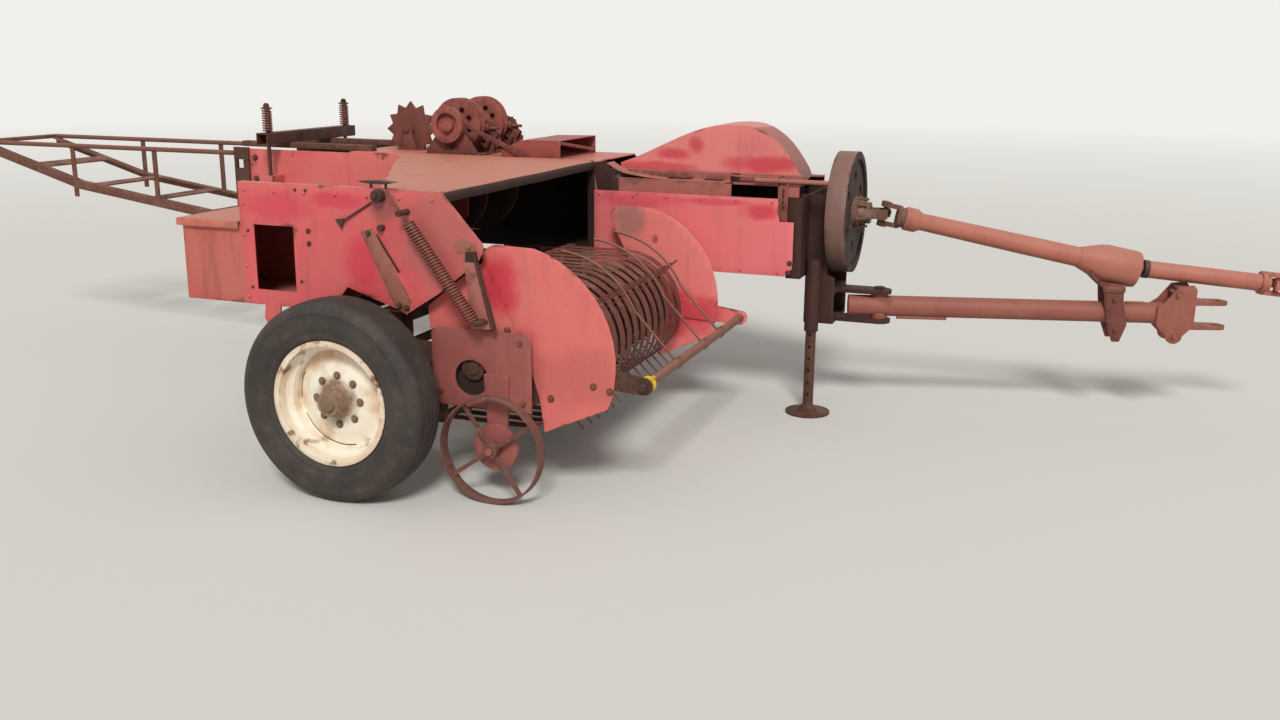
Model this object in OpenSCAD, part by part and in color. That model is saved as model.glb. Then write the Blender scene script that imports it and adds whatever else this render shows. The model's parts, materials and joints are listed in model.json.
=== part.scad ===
/* [Wheels] */
// Radius of the road tyres, which is also the height of the axle
tyre_r = 335; // [300:1:360]
// Width of a road tyre
tyre_w = 170; // [140:1:190]
// Distance from the machine's middle to the middle of each road tyre
half_track = 1088; // [1085:1:1120]
// Radius of the wheel rim's flange
rim_r = 208; // [190:1:225]
// Radius of the wheel spindles
spindle_r = 25; // [20:0.5:32]
// Radius of the pickup's gauge wheel
gauge_r = 180; // [160:1:200]
// Width of the gauge wheel's rim band
gauge_w = 40; // [30:1:42]

/* [Bale chamber] */
// Inner width of the bale chamber
chamber_w = 460; // [440:1:480]
// Inner height of the bale chamber
chamber_h = 360; // [345:1:375]
// Height of the chamber floor above the ground
floor_z = 630; // [610:1:650]
// Thickness of the chamber's sheet steel
sheet = 5; // [4:0.5:7]
// Rear end of the chamber walls, behind the road axle
chamber_rear = -1420; // [-1500:1:-1380]
// Front end of the chamber walls
chamber_front = 1160; // [1150:1:1170]
// Sideways place of the bale line, left of the machine's middle
line_y = 580; // [570:1:590]
// Length of the feed opening in the right-hand wall
feed_len = 560; // [500:1:570]
// Front edge of the feed opening
feed_front = 268; // [250:1:275]

/* [Crank and drive] */
// Height of the flywheel shaft
drive_z = 815; // [805:1:825]
// Radius of the flywheel
flywheel_r = 242; // [225:1:250]
// Width of the flywheel's rim
flywheel_w = 78; // [60:1:85]
// Radius of the flywheel shaft
drive_shaft_r = 22; // [18:0.5:26]
// Throw of the plunger crank
crank_throw = 260; // [240:1:265]
// Place of the crank's axis
crank_x = 720; // [710:1:730]

/* [Tongue] */
// Place of the tongue's pivot, straight under the rear universal joint
pivot_x = 1456; // [1450:1:1470]
// Angle of the tongue to the left of straight ahead, in the field
tongue_heading = 15; // [10:0.5:18]
// Height of the tongue pipe's middle
tongue_z = 440; // [430:1:450]
// Radius of the tongue pipe
tongue_r = 42; // [36:0.5:45]
// Length from the pivot to the hitch pin
tongue_len = 1320; // [1250:1:1380]
// Radius of the hitch pin's bore
hitch_r = 13; // [10:0.5:18]
// Length from the pivot to the driveline's middle joint
carrier_u = 925; // [900:1:950]
// Height of the driveline's middle joint
carrier_z = 627; // [615:1:640]
// Length from the pivot to the front end of the driveline
shaft_end_u = 1680; // [1620:1:1720]

/* [Pickup] */
// Place of the tine reel's shaft ahead of the road axle
reel_x = 515; // [505:1:525]
// Height of the tine reel's shaft
reel_z = 445; // [435:1:460]
// Radius that the tine tips reach
tine_tip_r = 305; // [290:1:308]
// Radius of the stripper bands round the reel
band_r = 225; // [215:1:235]
// Distance between neighbouring tines
tine_pitch = 68; // [60:1:75]
// Number of tine bars
bar_count = 4; // [3:1:5]
// Distance that the pickup's right-hand sheet stands inside the side sheet
pickup_inset = 55; // [53:1:59]
// Outer face of the pickup's left-hand sheet
pickup_left = 232; // [226:1:236]
// Place of the pickup's lift pivot
lift_x = 100; // [95:1:105]
// Height of the pickup's lift pivot
lift_z = 470; // [465:1:475]

/* [Feeder and side] */
// Gap between the right-hand road tyre and the side sheet
tyre_gap = 76; // [73:1:79]
// Thickness of the side sheet and the hood
skin = 4; // [3:0.5:5]
// Height of the feeder floor's top
feeder_z = 604; // [602:1:612]
// Front edge of the hood over the feeder
hood_front = 280; // [276:1:290]
// Rear end of the twine box
box_rear = -720; // [-760:1:-700]
// Height of the twine box's rim
box_top = 865; // [850:1:880]
// Depth of the twine box from the side inward
box_depth = 420; // [380:1:440]

/* [Rear] */
// Rear end of the bale chute
chute_end = -3055; // [-3100:1:-2900]
// Place of the tension bar
tension_x = -1260; // [-1280:1:-1240]
// Place of the knotter shaft
knotter_x = -390; // [-395:1:-385]
// Height of the knotter shaft
knotter_z = 1125; // [1120:1:1135]

/* [Hidden] */
$fn = 64;

red = "#c9484a";
rust = "#8a4a38";
dark = "#4a2c20";
cream = "#ead9bd";
rubber = "#3a352f";

// Running clearance between a shaft and its bore
run_fit = 0.06;
// Gap between parts of different bodies that would otherwise touch
seat_gap = 0.3;

// Outer faces of the right-hand side sheet and of the pickup's right-hand sheet
side_y = tyre_w / 2 + tyre_gap - half_track;
pickup_right = side_y + pickup_inset;

near_y = line_y - chamber_w / 2 - sheet;
far_y = line_y + chamber_w / 2 + sheet;
roof_z = floor_z + chamber_h;
top_z = roof_z + sheet;
under_z = floor_z - sheet;

// Step where the chamber walls drop from the roof to the deck
deck_x = 300;
deck_drop = 60;
deck_z = roof_z - deck_drop;
deck_t = 6;
roof_rear = -880;

function arc(x, z, r, a, b, n) = [for (i = [0:n]) [x + r * cos(a + (b - a) * i / n),
    z + r * sin(a + (b - a) * i / n)]];

// Box between two corners
module box(a, b) {
    translate(a) cube(b - a);
}

// Plate in the XZ plane from y to y + t
module plate(y, t) {
    translate([0, y + t, 0]) rotate([90, 0, 0]) linear_extrude(t) children();
}

// Plate in the YZ plane from x to x + t
module plate_x(x, t) {
    translate([x, 0, 0]) rotate([90, 0, 90]) linear_extrude(t) children();
}

// Round bar along Y
module bar_y(x, z, y0, y1, r) {
    translate([x, y0, z]) rotate([-90, 0, 0]) cylinder(h = y1 - y0, r = r);
}

// Round bar along X
module bar_x(y, z, x0, x1, r) {
    translate([x0, y, z]) rotate([0, 90, 0]) cylinder(h = x1 - x0, r = r);
}

// Points of a coil round the Z axis from z0 to z1
function helix(z0, z1, r, turns, steps) = [for (i = [0:turns * steps])
    [r * cos(360 * i / steps), r * sin(360 * i / steps), z0 + (z1 - z0) * i / (turns * steps)]];

// Points from a coil's end at height z inward to the Z axis, where they stand at height z + rise
function coil_hook(z, rise, r, n) = [for (i = [1:n]) let (f = 1 - i / n, a = 180 * (1 - f))
    [r * f * cos(a), r * f * sin(a), z + rise * pow(1 - f, 3)]];

// Round wire along a path of points
module wire(path, r, sides) {
    n = len(path) - 1;
    rings = [for (i = [0:n], j = [0:sides - 1])
        let (d = path[min(i + 1, n)] - path[max(i - 1, 0)], c = min(max(i, 1), n - 1),
            w = path[c + 1] - path[c - 1], h = atan2(w[1], w[0]), u = [sin(h), -cos(h), 0],
            v = cross(u, d / norm(d)), b = 360 * j / sides)
        path[i] + r * (cos(b) * u + sin(b) * v)];
    walls = [for (i = [0:n - 1], j = [0:sides - 1])
        let (k = (j + 1) % sides)
        [i * sides + j, i * sides + k, (i + 1) * sides + k, (i + 1) * sides + j]];
    first = [for (j = [sides - 1:-1:0]) j];
    last = [for (j = [0:sides - 1]) n * sides + j];
    polyhedron(rings, concat(walls, [first, last]));
}

// Needle swing
needle_x = -100;
needle_z = 575;
needle_tip_r = 500;
needle_base_r = 360;
needle_tip_a = 178;
needle_base_a = 245;
needle_t = 14;
needle_pin_r = 12;
needle_ys = [line_y - 110, line_y + 110];
slot_w = needle_t + 16;

// Star wheel that measures the bale
star_x = -700;
star_z = 1085;
star_r = 125;
star_t = 12;
star_out = 42;
star_shaft_r = 14;

// Lugs that hold the tension bolts beside the chamber
bolt_off = 300;
bolt_r = 9;
bolt_lug_z = 850;
bolt_lug_t = 30;

// Channel stiffeners on the left-hand wall
stiff_xs = [-1080, -700, -320, 60];
stiff_w = 50;
stiff_out = 26;

// Recess in the right-hand wall, under the deck's front bracket
recess_x0 = 885;
recess_x1 = 1076;

module wall_outline() {
    polygon([[chamber_rear, under_z], [chamber_front, under_z], [chamber_front, deck_z],
        [deck_x + deck_drop, deck_z], [deck_x, roof_z], [chamber_rear, roof_z]]);
}

module chamber() {
    color(red) difference() {
        union() {
            plate(near_y, sheet) wall_outline();
            plate(far_y - sheet, sheet) wall_outline();
            box([chamber_rear, near_y, under_z], [chamber_front, far_y, floor_z]);
            box([roof_rear, near_y, roof_z], [deck_x, far_y, top_z]);
            for (x = stiff_xs) difference() {
                box([x, far_y - 1, under_z], [x + stiff_w, far_y + stiff_out, roof_z]);
                box([x + sheet, far_y, under_z - 1], [x + stiff_w - sheet, far_y + stiff_out - sheet,
                    roof_z + 1]);
            }
            for (s = [-1, 1]) translate([tension_x, line_y + s * bolt_off, bolt_lug_z]) difference() {
                translate([-25, min(-25, -s * (bolt_off - chamber_w / 2 - sheet)), 0])
                    cube([50, bolt_off - chamber_w / 2 - sheet + 25, bolt_lug_t]);
                translate([0, 0, -1]) cylinder(h = bolt_lug_t + 2, r = bolt_r + seat_gap);
            }
        }
        box([feed_front - feed_len, near_y - 1, floor_z], [feed_front, near_y + sheet + 1, roof_z - 12]);
        box([recess_x0, near_y - 1, deck_z - deck_drop], [recess_x1, near_y + sheet + 1, deck_z + 1]);
        for (y = needle_ys) {
            box([needle_x - needle_tip_r - 25, y - slot_w / 2, under_z - 1],
                [needle_x - needle_base_r + 35, y + slot_w / 2, floor_z + 1]);
            box([needle_x - 310, y - slot_w / 2, roof_z - 1], [needle_x - 150, y + slot_w / 2, top_z + 1]);
        }
        box([star_x - star_r - 10, line_y - star_t / 2 - 12, roof_z - 1],
            [star_x + star_r + 10, line_y + star_t / 2 + 12, top_z + 1]);
    }
}

// Top rails that press on the bale
rail_w = 40;
rail_h = 25;
rail_rear = chamber_rear - 80;
rail_front = roof_rear + 80;
rail_off = 160;

module chamber_rails() {
    color(rust) for (s = [-1, 1]) difference() {
        box([rail_rear, line_y + s * rail_off - rail_w / 2, top_z],
            [rail_front, line_y + s * rail_off + rail_w / 2, top_z + rail_h]);
        box([rail_rear - 1, line_y + s * rail_off - rail_w / 2 + sheet, top_z - 1],
            [rail_front - 90, line_y + s * rail_off + rail_w / 2 - sheet, top_z + rail_h - sheet]);
    }
}

// Hoop round the rear end of the chamber
hoop_w = 80;
hoop_t = 10;

module rear_frame() {
    color(dark) difference() {
        box([chamber_rear - hoop_w, near_y - hoop_t, under_z - 12],
            [chamber_rear, far_y + hoop_t, top_z]);
        box([chamber_rear - hoop_w - 1, near_y + sheet, floor_z], [chamber_rear + 1, far_y - sheet,
            top_z + 1]);
        for (z = [under_z + 60, roof_z - 90])
            box([chamber_rear - hoop_w + 15, near_y - hoop_t - 1, z],
                [chamber_rear - 30, far_y + hoop_t + 1, z + 40]);
    }
}

// Plunger parked at the front end of its stroke
plunger_gap = 8;
plunger_len = 330;
plunger_face_x = feed_front + 12;
wrist_x = plunger_face_x + 170;
rod_y = line_y - 35;
rod_t = 30;

module plunger() {
    y0 = near_y + sheet + plunger_gap;
    y1 = far_y - sheet - plunger_gap;
    z1 = deck_z - 10;
    color(dark) difference() {
        union() {
            box([plunger_face_x, y0, floor_z + seat_gap], [plunger_face_x + 25, y1, roof_z - 40]);
            for (y = [y0, y1 - 12]) box([plunger_face_x, y, floor_z + seat_gap],
                [plunger_face_x + plunger_len, y + 12, z1]);
            box([plunger_face_x, y0, floor_z + seat_gap], [plunger_face_x + plunger_len, y1, floor_z + 15]);
            bar_y(wrist_x, drive_z, y0, y1, 20);
        }
        for (y = needle_ys) box([plunger_face_x - 1, y - slot_w / 2, floor_z - 1], [plunger_face_x + 26,
            y + slot_w / 2, roof_z]);
    }
}

module crank() {
    arm_y = rod_y + rod_t / 2 + 1;
    color(dark) {
        difference() {
            plate(rod_y - rod_t / 2, rod_t) difference() {
                union() {
                    translate([wrist_x, drive_z]) circle(38);
                    translate([crank_x + crank_throw, drive_z]) circle(42);
                    polygon([[wrist_x, drive_z - 24], [crank_x + crank_throw, drive_z - 30],
                        [crank_x + crank_throw, drive_z + 30], [wrist_x, drive_z + 24]]);
                }
                translate([wrist_x, drive_z]) circle(20 + seat_gap);
                translate([crank_x + crank_throw, drive_z]) circle(22 + seat_gap);
            }
        }
        difference() {
            union() {
                plate(arm_y, 36) union() {
                    translate([crank_x, drive_z]) circle(62);
                    translate([crank_x + crank_throw, drive_z]) circle(40);
                    polygon([[crank_x, drive_z - 62], [crank_x + crank_throw, drive_z - 40],
                        [crank_x + crank_throw, drive_z + 40], [crank_x, drive_z + 62]]);
                    polygon(concat(arc(crank_x, drive_z, 190, 120, 240, 12), [[crank_x, drive_z]]));
                }
                bar_y(crank_x + crank_throw, drive_z, rod_y - rod_t / 2 - 8, arm_y + 1, 22);
            }
            bar_y(crank_x, drive_z, arm_y - 1, arm_y + 37, 30 + seat_gap);
        }
    }
}

// Gearbox beside the crank
gear_y0 = rod_y + rod_t / 2 + 50;
gear_y1 = line_y + chamber_w / 2 - 45;
gear_r = 150;
input_x = 1030;

module gearbox() {
    color(dark) difference() {
        union() {
            bar_y(crank_x, drive_z, gear_y0, gear_y1, gear_r);
            box([crank_x, gear_y0, drive_z - 110], [input_x + 60, gear_y1, drive_z + 110]);
            bar_y(crank_x, drive_z, rod_y + rod_t / 2 + 1, gear_y0 + 1, 30);
            box([crank_x - 90, gear_y0, floor_z], [crank_x + 250, gear_y1, drive_z]);
            bar_x(line_y, drive_z, input_x, front_x, 62);
        }
        bar_x(line_y, drive_z, input_x + 10, front_x + 1, drive_shaft_r + run_fit);
    }
}

// Outline of the sheet cover over the crank
cover_t = 3;
cover_y0 = line_y - 112;
cover_y1 = far_y - 18;

module cover_outline(d) {
    polygon(concat([[365 + d, deck_z + deck_t - (d > 0 ? 1 : 0)], [385 + d, 985 - d * 0.6]],
        arc(620, 925 + 5, 215 - d, 118, 95, 3),
        arc(815, 745, 400 - d, 95, 66, 7),
        arc(1010, 955, 155 - d, 55, 8, 6),
        [[1166 - d, deck_z + deck_t - (d > 0 ? 1 : 0)]]));
}

module crank_cover() {
    color(red) difference() {
        plate(cover_y0, cover_y1 - cover_y0) cover_outline(0);
        plate(cover_y0 + cover_t, cover_y1 - cover_y0 - 2 * cover_t) cover_outline(cover_t);
    }
}

// Deck of beams beside the crank cover
front_x = 1170;

deck_x0 = deck_x + deck_drop;
deck_beam_w = 45;
deck_cross_w = 50;
deck_bracket_h = 28;
angle_w = 42;
angle_t = 4;
guard_rod_x1 = 1255;

module deck_beams() {
    cross_end = cover_y0 + 15;
    color(rust) {
        difference() {
            union() {
                for (y = [near_y, far_y - deck_beam_w])
                    box([deck_x0, y, deck_z], [chamber_front, y + deck_beam_w, deck_z + deck_t]);
                box([deck_x0, cover_y0 - 25, deck_z], [chamber_front, cross_end, deck_z + deck_t]);
                for (x = [deck_x0, 700, recess_x0 - deck_cross_w, recess_x1, chamber_front - deck_cross_w])
                    box([x, near_y, deck_z], [x + deck_cross_w, cross_end, deck_z + deck_t]);
            }
            for (x = [420:100:1020]) translate([x, near_y + 22, deck_z - 1]) cylinder(h = deck_t + 2,
                r = 7);
        }
        box([deck_x0 + 20, cover_y0 - 40, deck_z + deck_t],
            [chamber_front, cover_y0 - 5, deck_z + deck_t + deck_bracket_h]);
        for (x = [recess_x0 - angle_t, recess_x1])
            box([x, near_y, deck_z + deck_t], [x + angle_t, cross_end - 60,
                deck_z + deck_t + deck_bracket_h]);
        box([recess_x0 - angle_t, near_y, deck_z + deck_t + deck_bracket_h - angle_t],
            [recess_x1 + angle_t, near_y + 22, deck_z + deck_t + deck_bracket_h]);
        bar_x(near_y + 34, deck_z + deck_t + 7, recess_x1 + 20, guard_rod_x1, 9);
        difference() {
            union() {
                box([recess_x1 + 8, near_y - angle_t, deck_z - 140], [recess_x1 + angle_w, near_y,
                    deck_z + deck_t + 30]);
                box([recess_x1 + angle_w - angle_t, near_y - 16, deck_z - 140],
                    [recess_x1 + angle_w, near_y, deck_z + deck_t + 30]);
                box([recess_x1 + 8, near_y - 1, deck_z + deck_t], [recess_x1 + angle_w, near_y + 30,
                    deck_z + deck_t + 4]);
            }
            for (z = [deck_z - 28, deck_z - 10, deck_z + 8]) bar_y(recess_x1 + 20, z, near_y - 20,
                near_y + 1, 5);
        }
    }
}

// Frame that holds the flywheel bearing and the tongue pivot
frame_y0 = line_y - 110;
frame_y1 = line_y + 150;
frame_t = 8;
frame_front = 1290;
bearing_front = 1258;
frame_low = tongue_z - tongue_r - 28;
lug_gap = 10;
lug_t = 16;
pivot_pin_r = 20;
sleeve_r = 34;

module front_frame() {
    color(dark) difference() {
        union() {
            for (y = [frame_y0, frame_y1 - frame_t]) plate(y, frame_t)
                polygon([[front_x, frame_low], [frame_front, frame_low],
                    [frame_front, drive_z - flywheel_r - 15],
                    [bearing_front, drive_z - flywheel_r], [bearing_front, drive_z + 75],
                        [front_x, drive_z + 75]]);
            box([front_x, near_y - frame_t, floor_z - 60], [front_x + frame_t, far_y + frame_t,
                drive_z + 75]);
            for (y = [near_y - frame_t, far_y]) box([panel_x1 - 28, y, floor_z - 60],
                [front_x + frame_t, y + frame_t, drive_z + 75]);
            box([front_x, frame_y0, frame_low], [front_x + frame_t, frame_y1, drive_z]);
            box([front_x, frame_y0, frame_low], [frame_front, frame_y1, frame_low + frame_t]);
            for (z = [tongue_z - tongue_r - lug_gap - lug_t, tongue_z + tongue_r + lug_gap]) difference() {
                union() {
                    translate([pivot_x, line_y, z]) cylinder(h = lug_t, r = 48);
                    box([frame_front - 60, line_y - 48, z], [pivot_x, line_y + 48, z + lug_t]);
                }
            }
            box([frame_front - 60, frame_y0, tongue_z + tongue_r + lug_gap], [frame_front, frame_y1,
                tongue_z + tongue_r + lug_gap + lug_t]);
            bar_x(line_y, drive_z, front_x, bearing_front, 60);
            translate([pivot_x, line_y, tongue_z - tongue_r - lug_gap - lug_t])
                cylinder(h = 2 * (tongue_r + lug_gap + lug_t) + 10, r = pivot_pin_r);
        }
        bar_x(line_y, drive_z, front_x - 1, frame_front, drive_shaft_r + run_fit);
    }
}

// Axle beam with its posts
beam = 40;
spindle_out = half_track + 58;
hub_half = 60;
hub_r = 32;
beam_end = half_track - tyre_w / 2 - 8;
stub_in = 32;
post_z1 = under_z;

module axle() {
    color(dark) {
        box([-beam, -beam_end, tyre_r - beam], [beam, beam_end, tyre_r + beam]);
        for (s = [-1, 1]) translate([0, s * (beam_end - stub_in), tyre_r]) rotate([-90 * s, 0, 0]) {
            cylinder(h = spindle_out - beam_end + stub_in, r = spindle_r);
            cylinder(h = half_track - hub_half - beam_end + stub_in, r = hub_r);
        }
        for (y = [near_y + 5, far_y - 35]) box([-beam, y, tyre_r + beam], [beam, y + 30, post_z1]);
        for (y = [near_y + 12, far_y - 22]) plate(y, 10) union() {
            polygon([[needle_x - 32, post_z1], [-beam + 1, post_z1], [-beam + 1, post_z1 - 60],
                [needle_x, needle_z - 24], [needle_x - 24, needle_z]]);
            translate([needle_x, needle_z]) circle(24);
        }
        bar_y(needle_x, needle_z, near_y + 13, near_y + 42, needle_pin_r);
        bar_y(needle_x, needle_z, far_y - 42, far_y - 13, needle_pin_r);
    }
}

// Cross beams under the feeder
cross_h = 60;
cross_y0 = side_y + skin;

module cross_beams() {
    z1 = feeder_z - skin;
    color(dark) {
        for (x = [-185, 40]) difference() {
            box([x, cross_y0, z1 - cross_h], [x + 50, near_y, z1]);
            box([x + 5, cross_y0 - 1, z1 - cross_h - 1], [x + 45, near_y + 1, z1 - 5]);
        }
        for (y = [cross_y0 + 20, -120]) box([-beam, y, tyre_r + beam], [beam, y + 30, z1 - cross_h]);
        box([-185, cross_y0 + 20, z1 - cross_h - 8], [90, cross_y0 + 50, z1 - cross_h]);
        box([-185, -120, z1 - cross_h - 8], [90, -90, z1 - cross_h]);
        for (y = [pickup_right + 40, pickup_left - 60]) difference() {
            box([lift_x - 20, y, lift_z - 25], [lift_x + 20, y + 12, z1 - 0]);
            bar_y(lift_x, lift_z, y - 1, y + 13, 16 + run_fit);
        }
    }
}

// Slanting line along the rear of the feeder
slant_near_x = 97;
slant_far_x = -620;
feeder_front = 165;

module slant_plan(front) {
    polygon([[front, side_y + skin], [front, near_y], [slant_far_x, near_y],
        [slant_near_x, side_y + skin]]);
}

module feeder_floor() {
    color(rust) {
        translate([0, 0, feeder_z - skin]) linear_extrude(skin) slant_plan(feeder_front);
        translate([0, 0, feeder_z]) linear_extrude(hood_z - feeder_z) difference() {
            slant_plan(feeder_front);
            translate([skin * 1.4, 0]) polygon([[feeder_front + 40, side_y],
                [feeder_front + 40, near_y + 1],
                [slant_far_x, near_y + 1], [slant_near_x, side_y]]);
        }
    }
}

// Hood over the feeder
hood_z = top_z;
hood_lap = 30;
lip_r = 14;
twine_slot = [70, side_y + 34];

module feeder_hood() {
    color(rust) {
        translate([0, 0, hood_z]) linear_extrude(skin) difference() {
            polygon([[hood_front, side_y + skin], [hood_front, near_y + hood_lap],
                [slant_far_x - 20, near_y + hood_lap], [slant_near_x - 20, side_y + skin]]);
            translate(twine_slot) square([110, 14]);
        }
        plate(side_y + skin, near_y - side_y - skin) difference() {
            polygon(concat(arc(hood_front, hood_z + skin - lip_r - skin, lip_r + skin, 90, 0, 8),
                [[hood_front + lip_r + skin, hood_z - 30], [hood_front + lip_r, hood_z - 30]],
                arc(hood_front, hood_z - lip_r, lip_r, 0, 90, 8)));
        }
        plate(near_y - skin, skin) polygon([[hood_front + lip_r, hood_z - 2],
            [hood_front + 70, hood_z + skin],
            [deck_x0 + 46, deck_z], [deck_x0 + 46, panel_z1], [hood_front + 34, panel_z1]]);
    }
}

packer_x = 90;

module packer() {
    y0 = side_y + 287;
    z = hood_z - 60;
    color(dark) {
        bar_y(packer_x, z, y0, near_y - 55, 20);
        for (y = [y0 + 60, -120, near_y - 110]) box([packer_x - 15, y, z], [packer_x + 15, y + 20, hood_z]);
        for (y = [y0 + 140, y0 + 400, y0 + 660]) plate(y, 12) polygon(concat(
            arc(packer_x - 170, z, 150, 0, -80, 8), arc(packer_x - 170, z, 188, -72, 0, 8)));
    }
}

// Outline of the right-hand side sheet
side_low = 585;
side_top = hood_z + skin + skin;
side_rear = -475;

// Corners of the stiffening strip on the side sheet, and of the slot beside it
strip_pts = [[6, 858], [48, 874], [182, 640], [165, 596], [124, 618]];
slot_pts = [[58, 856], [66, 852], [142, 732], [134, 736]];
strip_t = 4;
window = [[-421, 638], [158, 223]];
lever_pts = [[-62, 890], [62, 952]];
lever_r = 6;
leg_pts = [[-394, 590], [-330, 590], [-336, 540], [-350, 515], [-388, 515], [-402, 540]];

module side_outline() {
    polygon(concat([[side_rear, side_low], [-130, side_low], [-60, 672], [165, 600], [285, 676]],
        [[430, 790]], arc(419, 832, 30, -20, 48, 5), [[305, side_top], [side_rear, side_top]]));
    polygon(leg_pts);
}

module side_sheet() {
    lever_a = atan2(lever_pts[1][1] - lever_pts[0][1], lever_pts[1][0] - lever_pts[0][0]);
    color(red) {
        plate(side_y, skin) difference() {
            side_outline();
            translate(window[0]) square(window[1]);
            polygon(slot_pts);
        }
        plate(side_y - strip_t, strip_t) polygon(strip_pts);
        box([side_rear, side_y + skin, side_top - skin], [296, side_y + skin + 28, side_top]);
        box([side_rear, side_y + skin, side_low], [side_rear + skin, side_y + skin + 20, side_top - skin]);
        bar_y(spring_top[0], spring_top[1], spring_y - spring_r, side_y + 1, stud_r);
        bar_y(lever_pts[1][0], lever_pts[1][1], side_y - 22, side_y + 1, 14);
        translate([lever_pts[0][0], side_y - 14, lever_pts[0][1]]) {
            rotate([0, 90 - lever_a, 0]) cylinder(h = norm(lever_pts[1] - lever_pts[0]), r = lever_r);
            sphere(2 * lever_r);
        }
    }
}

// Twine box
box_front = -200;
box_low = 585;
box_t = 3;

module twine_box() {
    y0 = side_y + 1;
    y1 = side_y + skin + box_depth;
    color(red) {
        difference() {
            box([box_rear, y0, box_low], [box_front, y1, box_top]);
            box([box_rear + box_t, y0 + box_t, box_low + box_t], [box_front - box_t, y1 - box_t,
                box_top - box_t]);
            box([box_rear + box_t, y0 + box_t, box_low], [side_rear, y1 - box_t, box_top + 1]);
            box([side_rear, y0 - 1, box_low - 1], [box_front + 1, side_y + skin + 20, box_top + 1]);
        }
        box([box_rear, y0, box_low], [side_rear, y1, box_low + box_t]);
        for (x = [box_rear + 4, side_rear - knuckle_len - 6]) difference() {
            union() {
                bar_x(lid_axis_y, lid_axis_z, x, x + knuckle_len, knuckle_r);
                box([x, y1 - 1, lid_axis_z - knuckle_r], [x + knuckle_len, lid_axis_y, lid_axis_z]);
            }
            bar_x(lid_axis_y, lid_axis_z, x - 1, x + knuckle_len + 1, lid_pin_r + run_fit);
        }
    }
}

// Lid over the rear part of the twine box
lid_t = 3;
lid_over = 14;
lid_lip = 22;
lid_pin_r = 5;
knuckle_r = 8;
knuckle_len = 40;
lid_axis_y = side_y + skin + box_depth + knuckle_r + 1;
lid_axis_z = box_top - 4;

module twine_lid() {
    z = box_top + seat_gap;
    x0 = box_rear - lid_over;
    x1 = side_rear - 2;
    k0 = box_rear + knuckle_len + 10;
    k1 = side_rear - knuckle_len - 12;
    color(rust) difference() {
        union() {
            box([x0, side_y - lid_over, z], [x1, side_y + skin + box_depth - 1, z + lid_t]);
            box([x0, side_y - lid_over, z - lid_lip], [x1, side_y - lid_over + lid_t, z + 1]);
            box([x0, side_y - lid_over, z - lid_lip], [x0 + lid_t, side_y + skin + box_depth - 1, z + 1]);
            box([k0, side_y + skin + box_depth - 20, z], [k1, lid_axis_y, z + lid_t]);
            bar_x(lid_axis_y, lid_axis_z, k0, k1, knuckle_r);
            bar_x(lid_axis_y, lid_axis_z, box_rear + 2, side_rear - 4, lid_pin_r);
        }
    }
}

// Red panel ahead of the feeder
panel_x0 = 305;
panel_x1 = 1148;
panel_z0 = 578;
panel_z1 = 882;
panel_out = 20;
notch_w = 58;
notch_h = 88;

module front_panel() {
    color(red) {
        plate(near_y - panel_out, 3) difference() {
            polygon([[panel_x0, panel_z0], [panel_x1 - 30, panel_z0], [panel_x1, panel_z0 + 30],
                [panel_x1, panel_z1 - notch_h], [panel_x1 - notch_w, panel_z1 - notch_h],
                [panel_x1 - notch_w - 8, panel_z1], [panel_x0, panel_z1]]);
        }
        box([panel_x0, near_y - panel_out, panel_z1 - 3], [panel_x1 - notch_w - 8, near_y, panel_z1]);
        box([panel_x0, near_y - panel_out, panel_z0], [panel_x1 - 30, near_y, panel_z0 + 3]);
        box([panel_x0, near_y - panel_out, panel_z0], [panel_x0 + 3, near_y, panel_z1]);
    }
}

// Knotter frame, heads and shaft
knot_r = 16;
knot_plates = [line_y - 195, line_y - 6, line_y + 215];
knot_plate_t = 12;
knot_half = 120;
knot_foot_t = 6;
cam_r = 110;
cam_groove_r = 88;
cam_half = 26;
cam_groove = 16;
head_y = 58;
head_t = 10;

// Places a shape drawn round the knotter shaft, in the XZ plane from y to y + t
module round_shaft(y, t) {
    plate(y, t) translate([knotter_x, knotter_z]) children();
}

// Knotter head beside one cam: casting, bill hook with its pinion, twine disc with holder, and wiper arm
module knot_head(y) {
    casting = y + head_y;
    round_shaft(casting, head_t) difference() {
        union() {
            circle(36);
            polygon([[-20, 30], [60, 34], [128, 8], [150, -50], [132, -78], [132, top_z - knotter_z + 1],
                [94, top_z - knotter_z + 1], [100, -70], [64, -40], [20, -34]]);
        }
        circle(knot_r + run_fit);
        translate([96, -18]) circle(14);
    }
    bar_x(casting - 5, knotter_z - 20, knotter_x + 96, knotter_x + 164, 7);
    bar_x(casting - 5, knotter_z - 20, knotter_x + 104, knotter_x + 118, 19);
    bar_x(casting - 5, knotter_z - 20, knotter_x + 98, knotter_x + 105, 13);
    bar_y(knotter_x + 118, knotter_z - 70, casting - 26, casting + 1, 8);
    translate([knotter_x + 118, casting - 18, knotter_z - 70]) rotate([0, 205, 0]) {
        cylinder(h = 36, r = 10);
        translate([0, -3, 0]) cube([30, 6, 8]);
        translate([0, -3, 26]) cube([34, 6, 8]);
    }
    round_shaft(casting + head_t + 14, 6) translate([120, -70]) difference() {
        circle(36);
        for (a = [20:60:320]) rotate(a) translate([36, 0]) circle(7);
    }
    bar_y(knotter_x + 120, knotter_z - 70, casting + 1, casting + head_t + 24, 10);
    round_shaft(casting + head_t + 6, 5) polygon(concat(
        [for (p = arc(0, 0, 96, 10, -55, 8)) p], [for (p = arc(0, 0, 112, -55, 10, 8)) p]));
    bar_y(knotter_x + 103, knotter_z + 8, casting + 1, casting + head_t + 11, 7);
}

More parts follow.
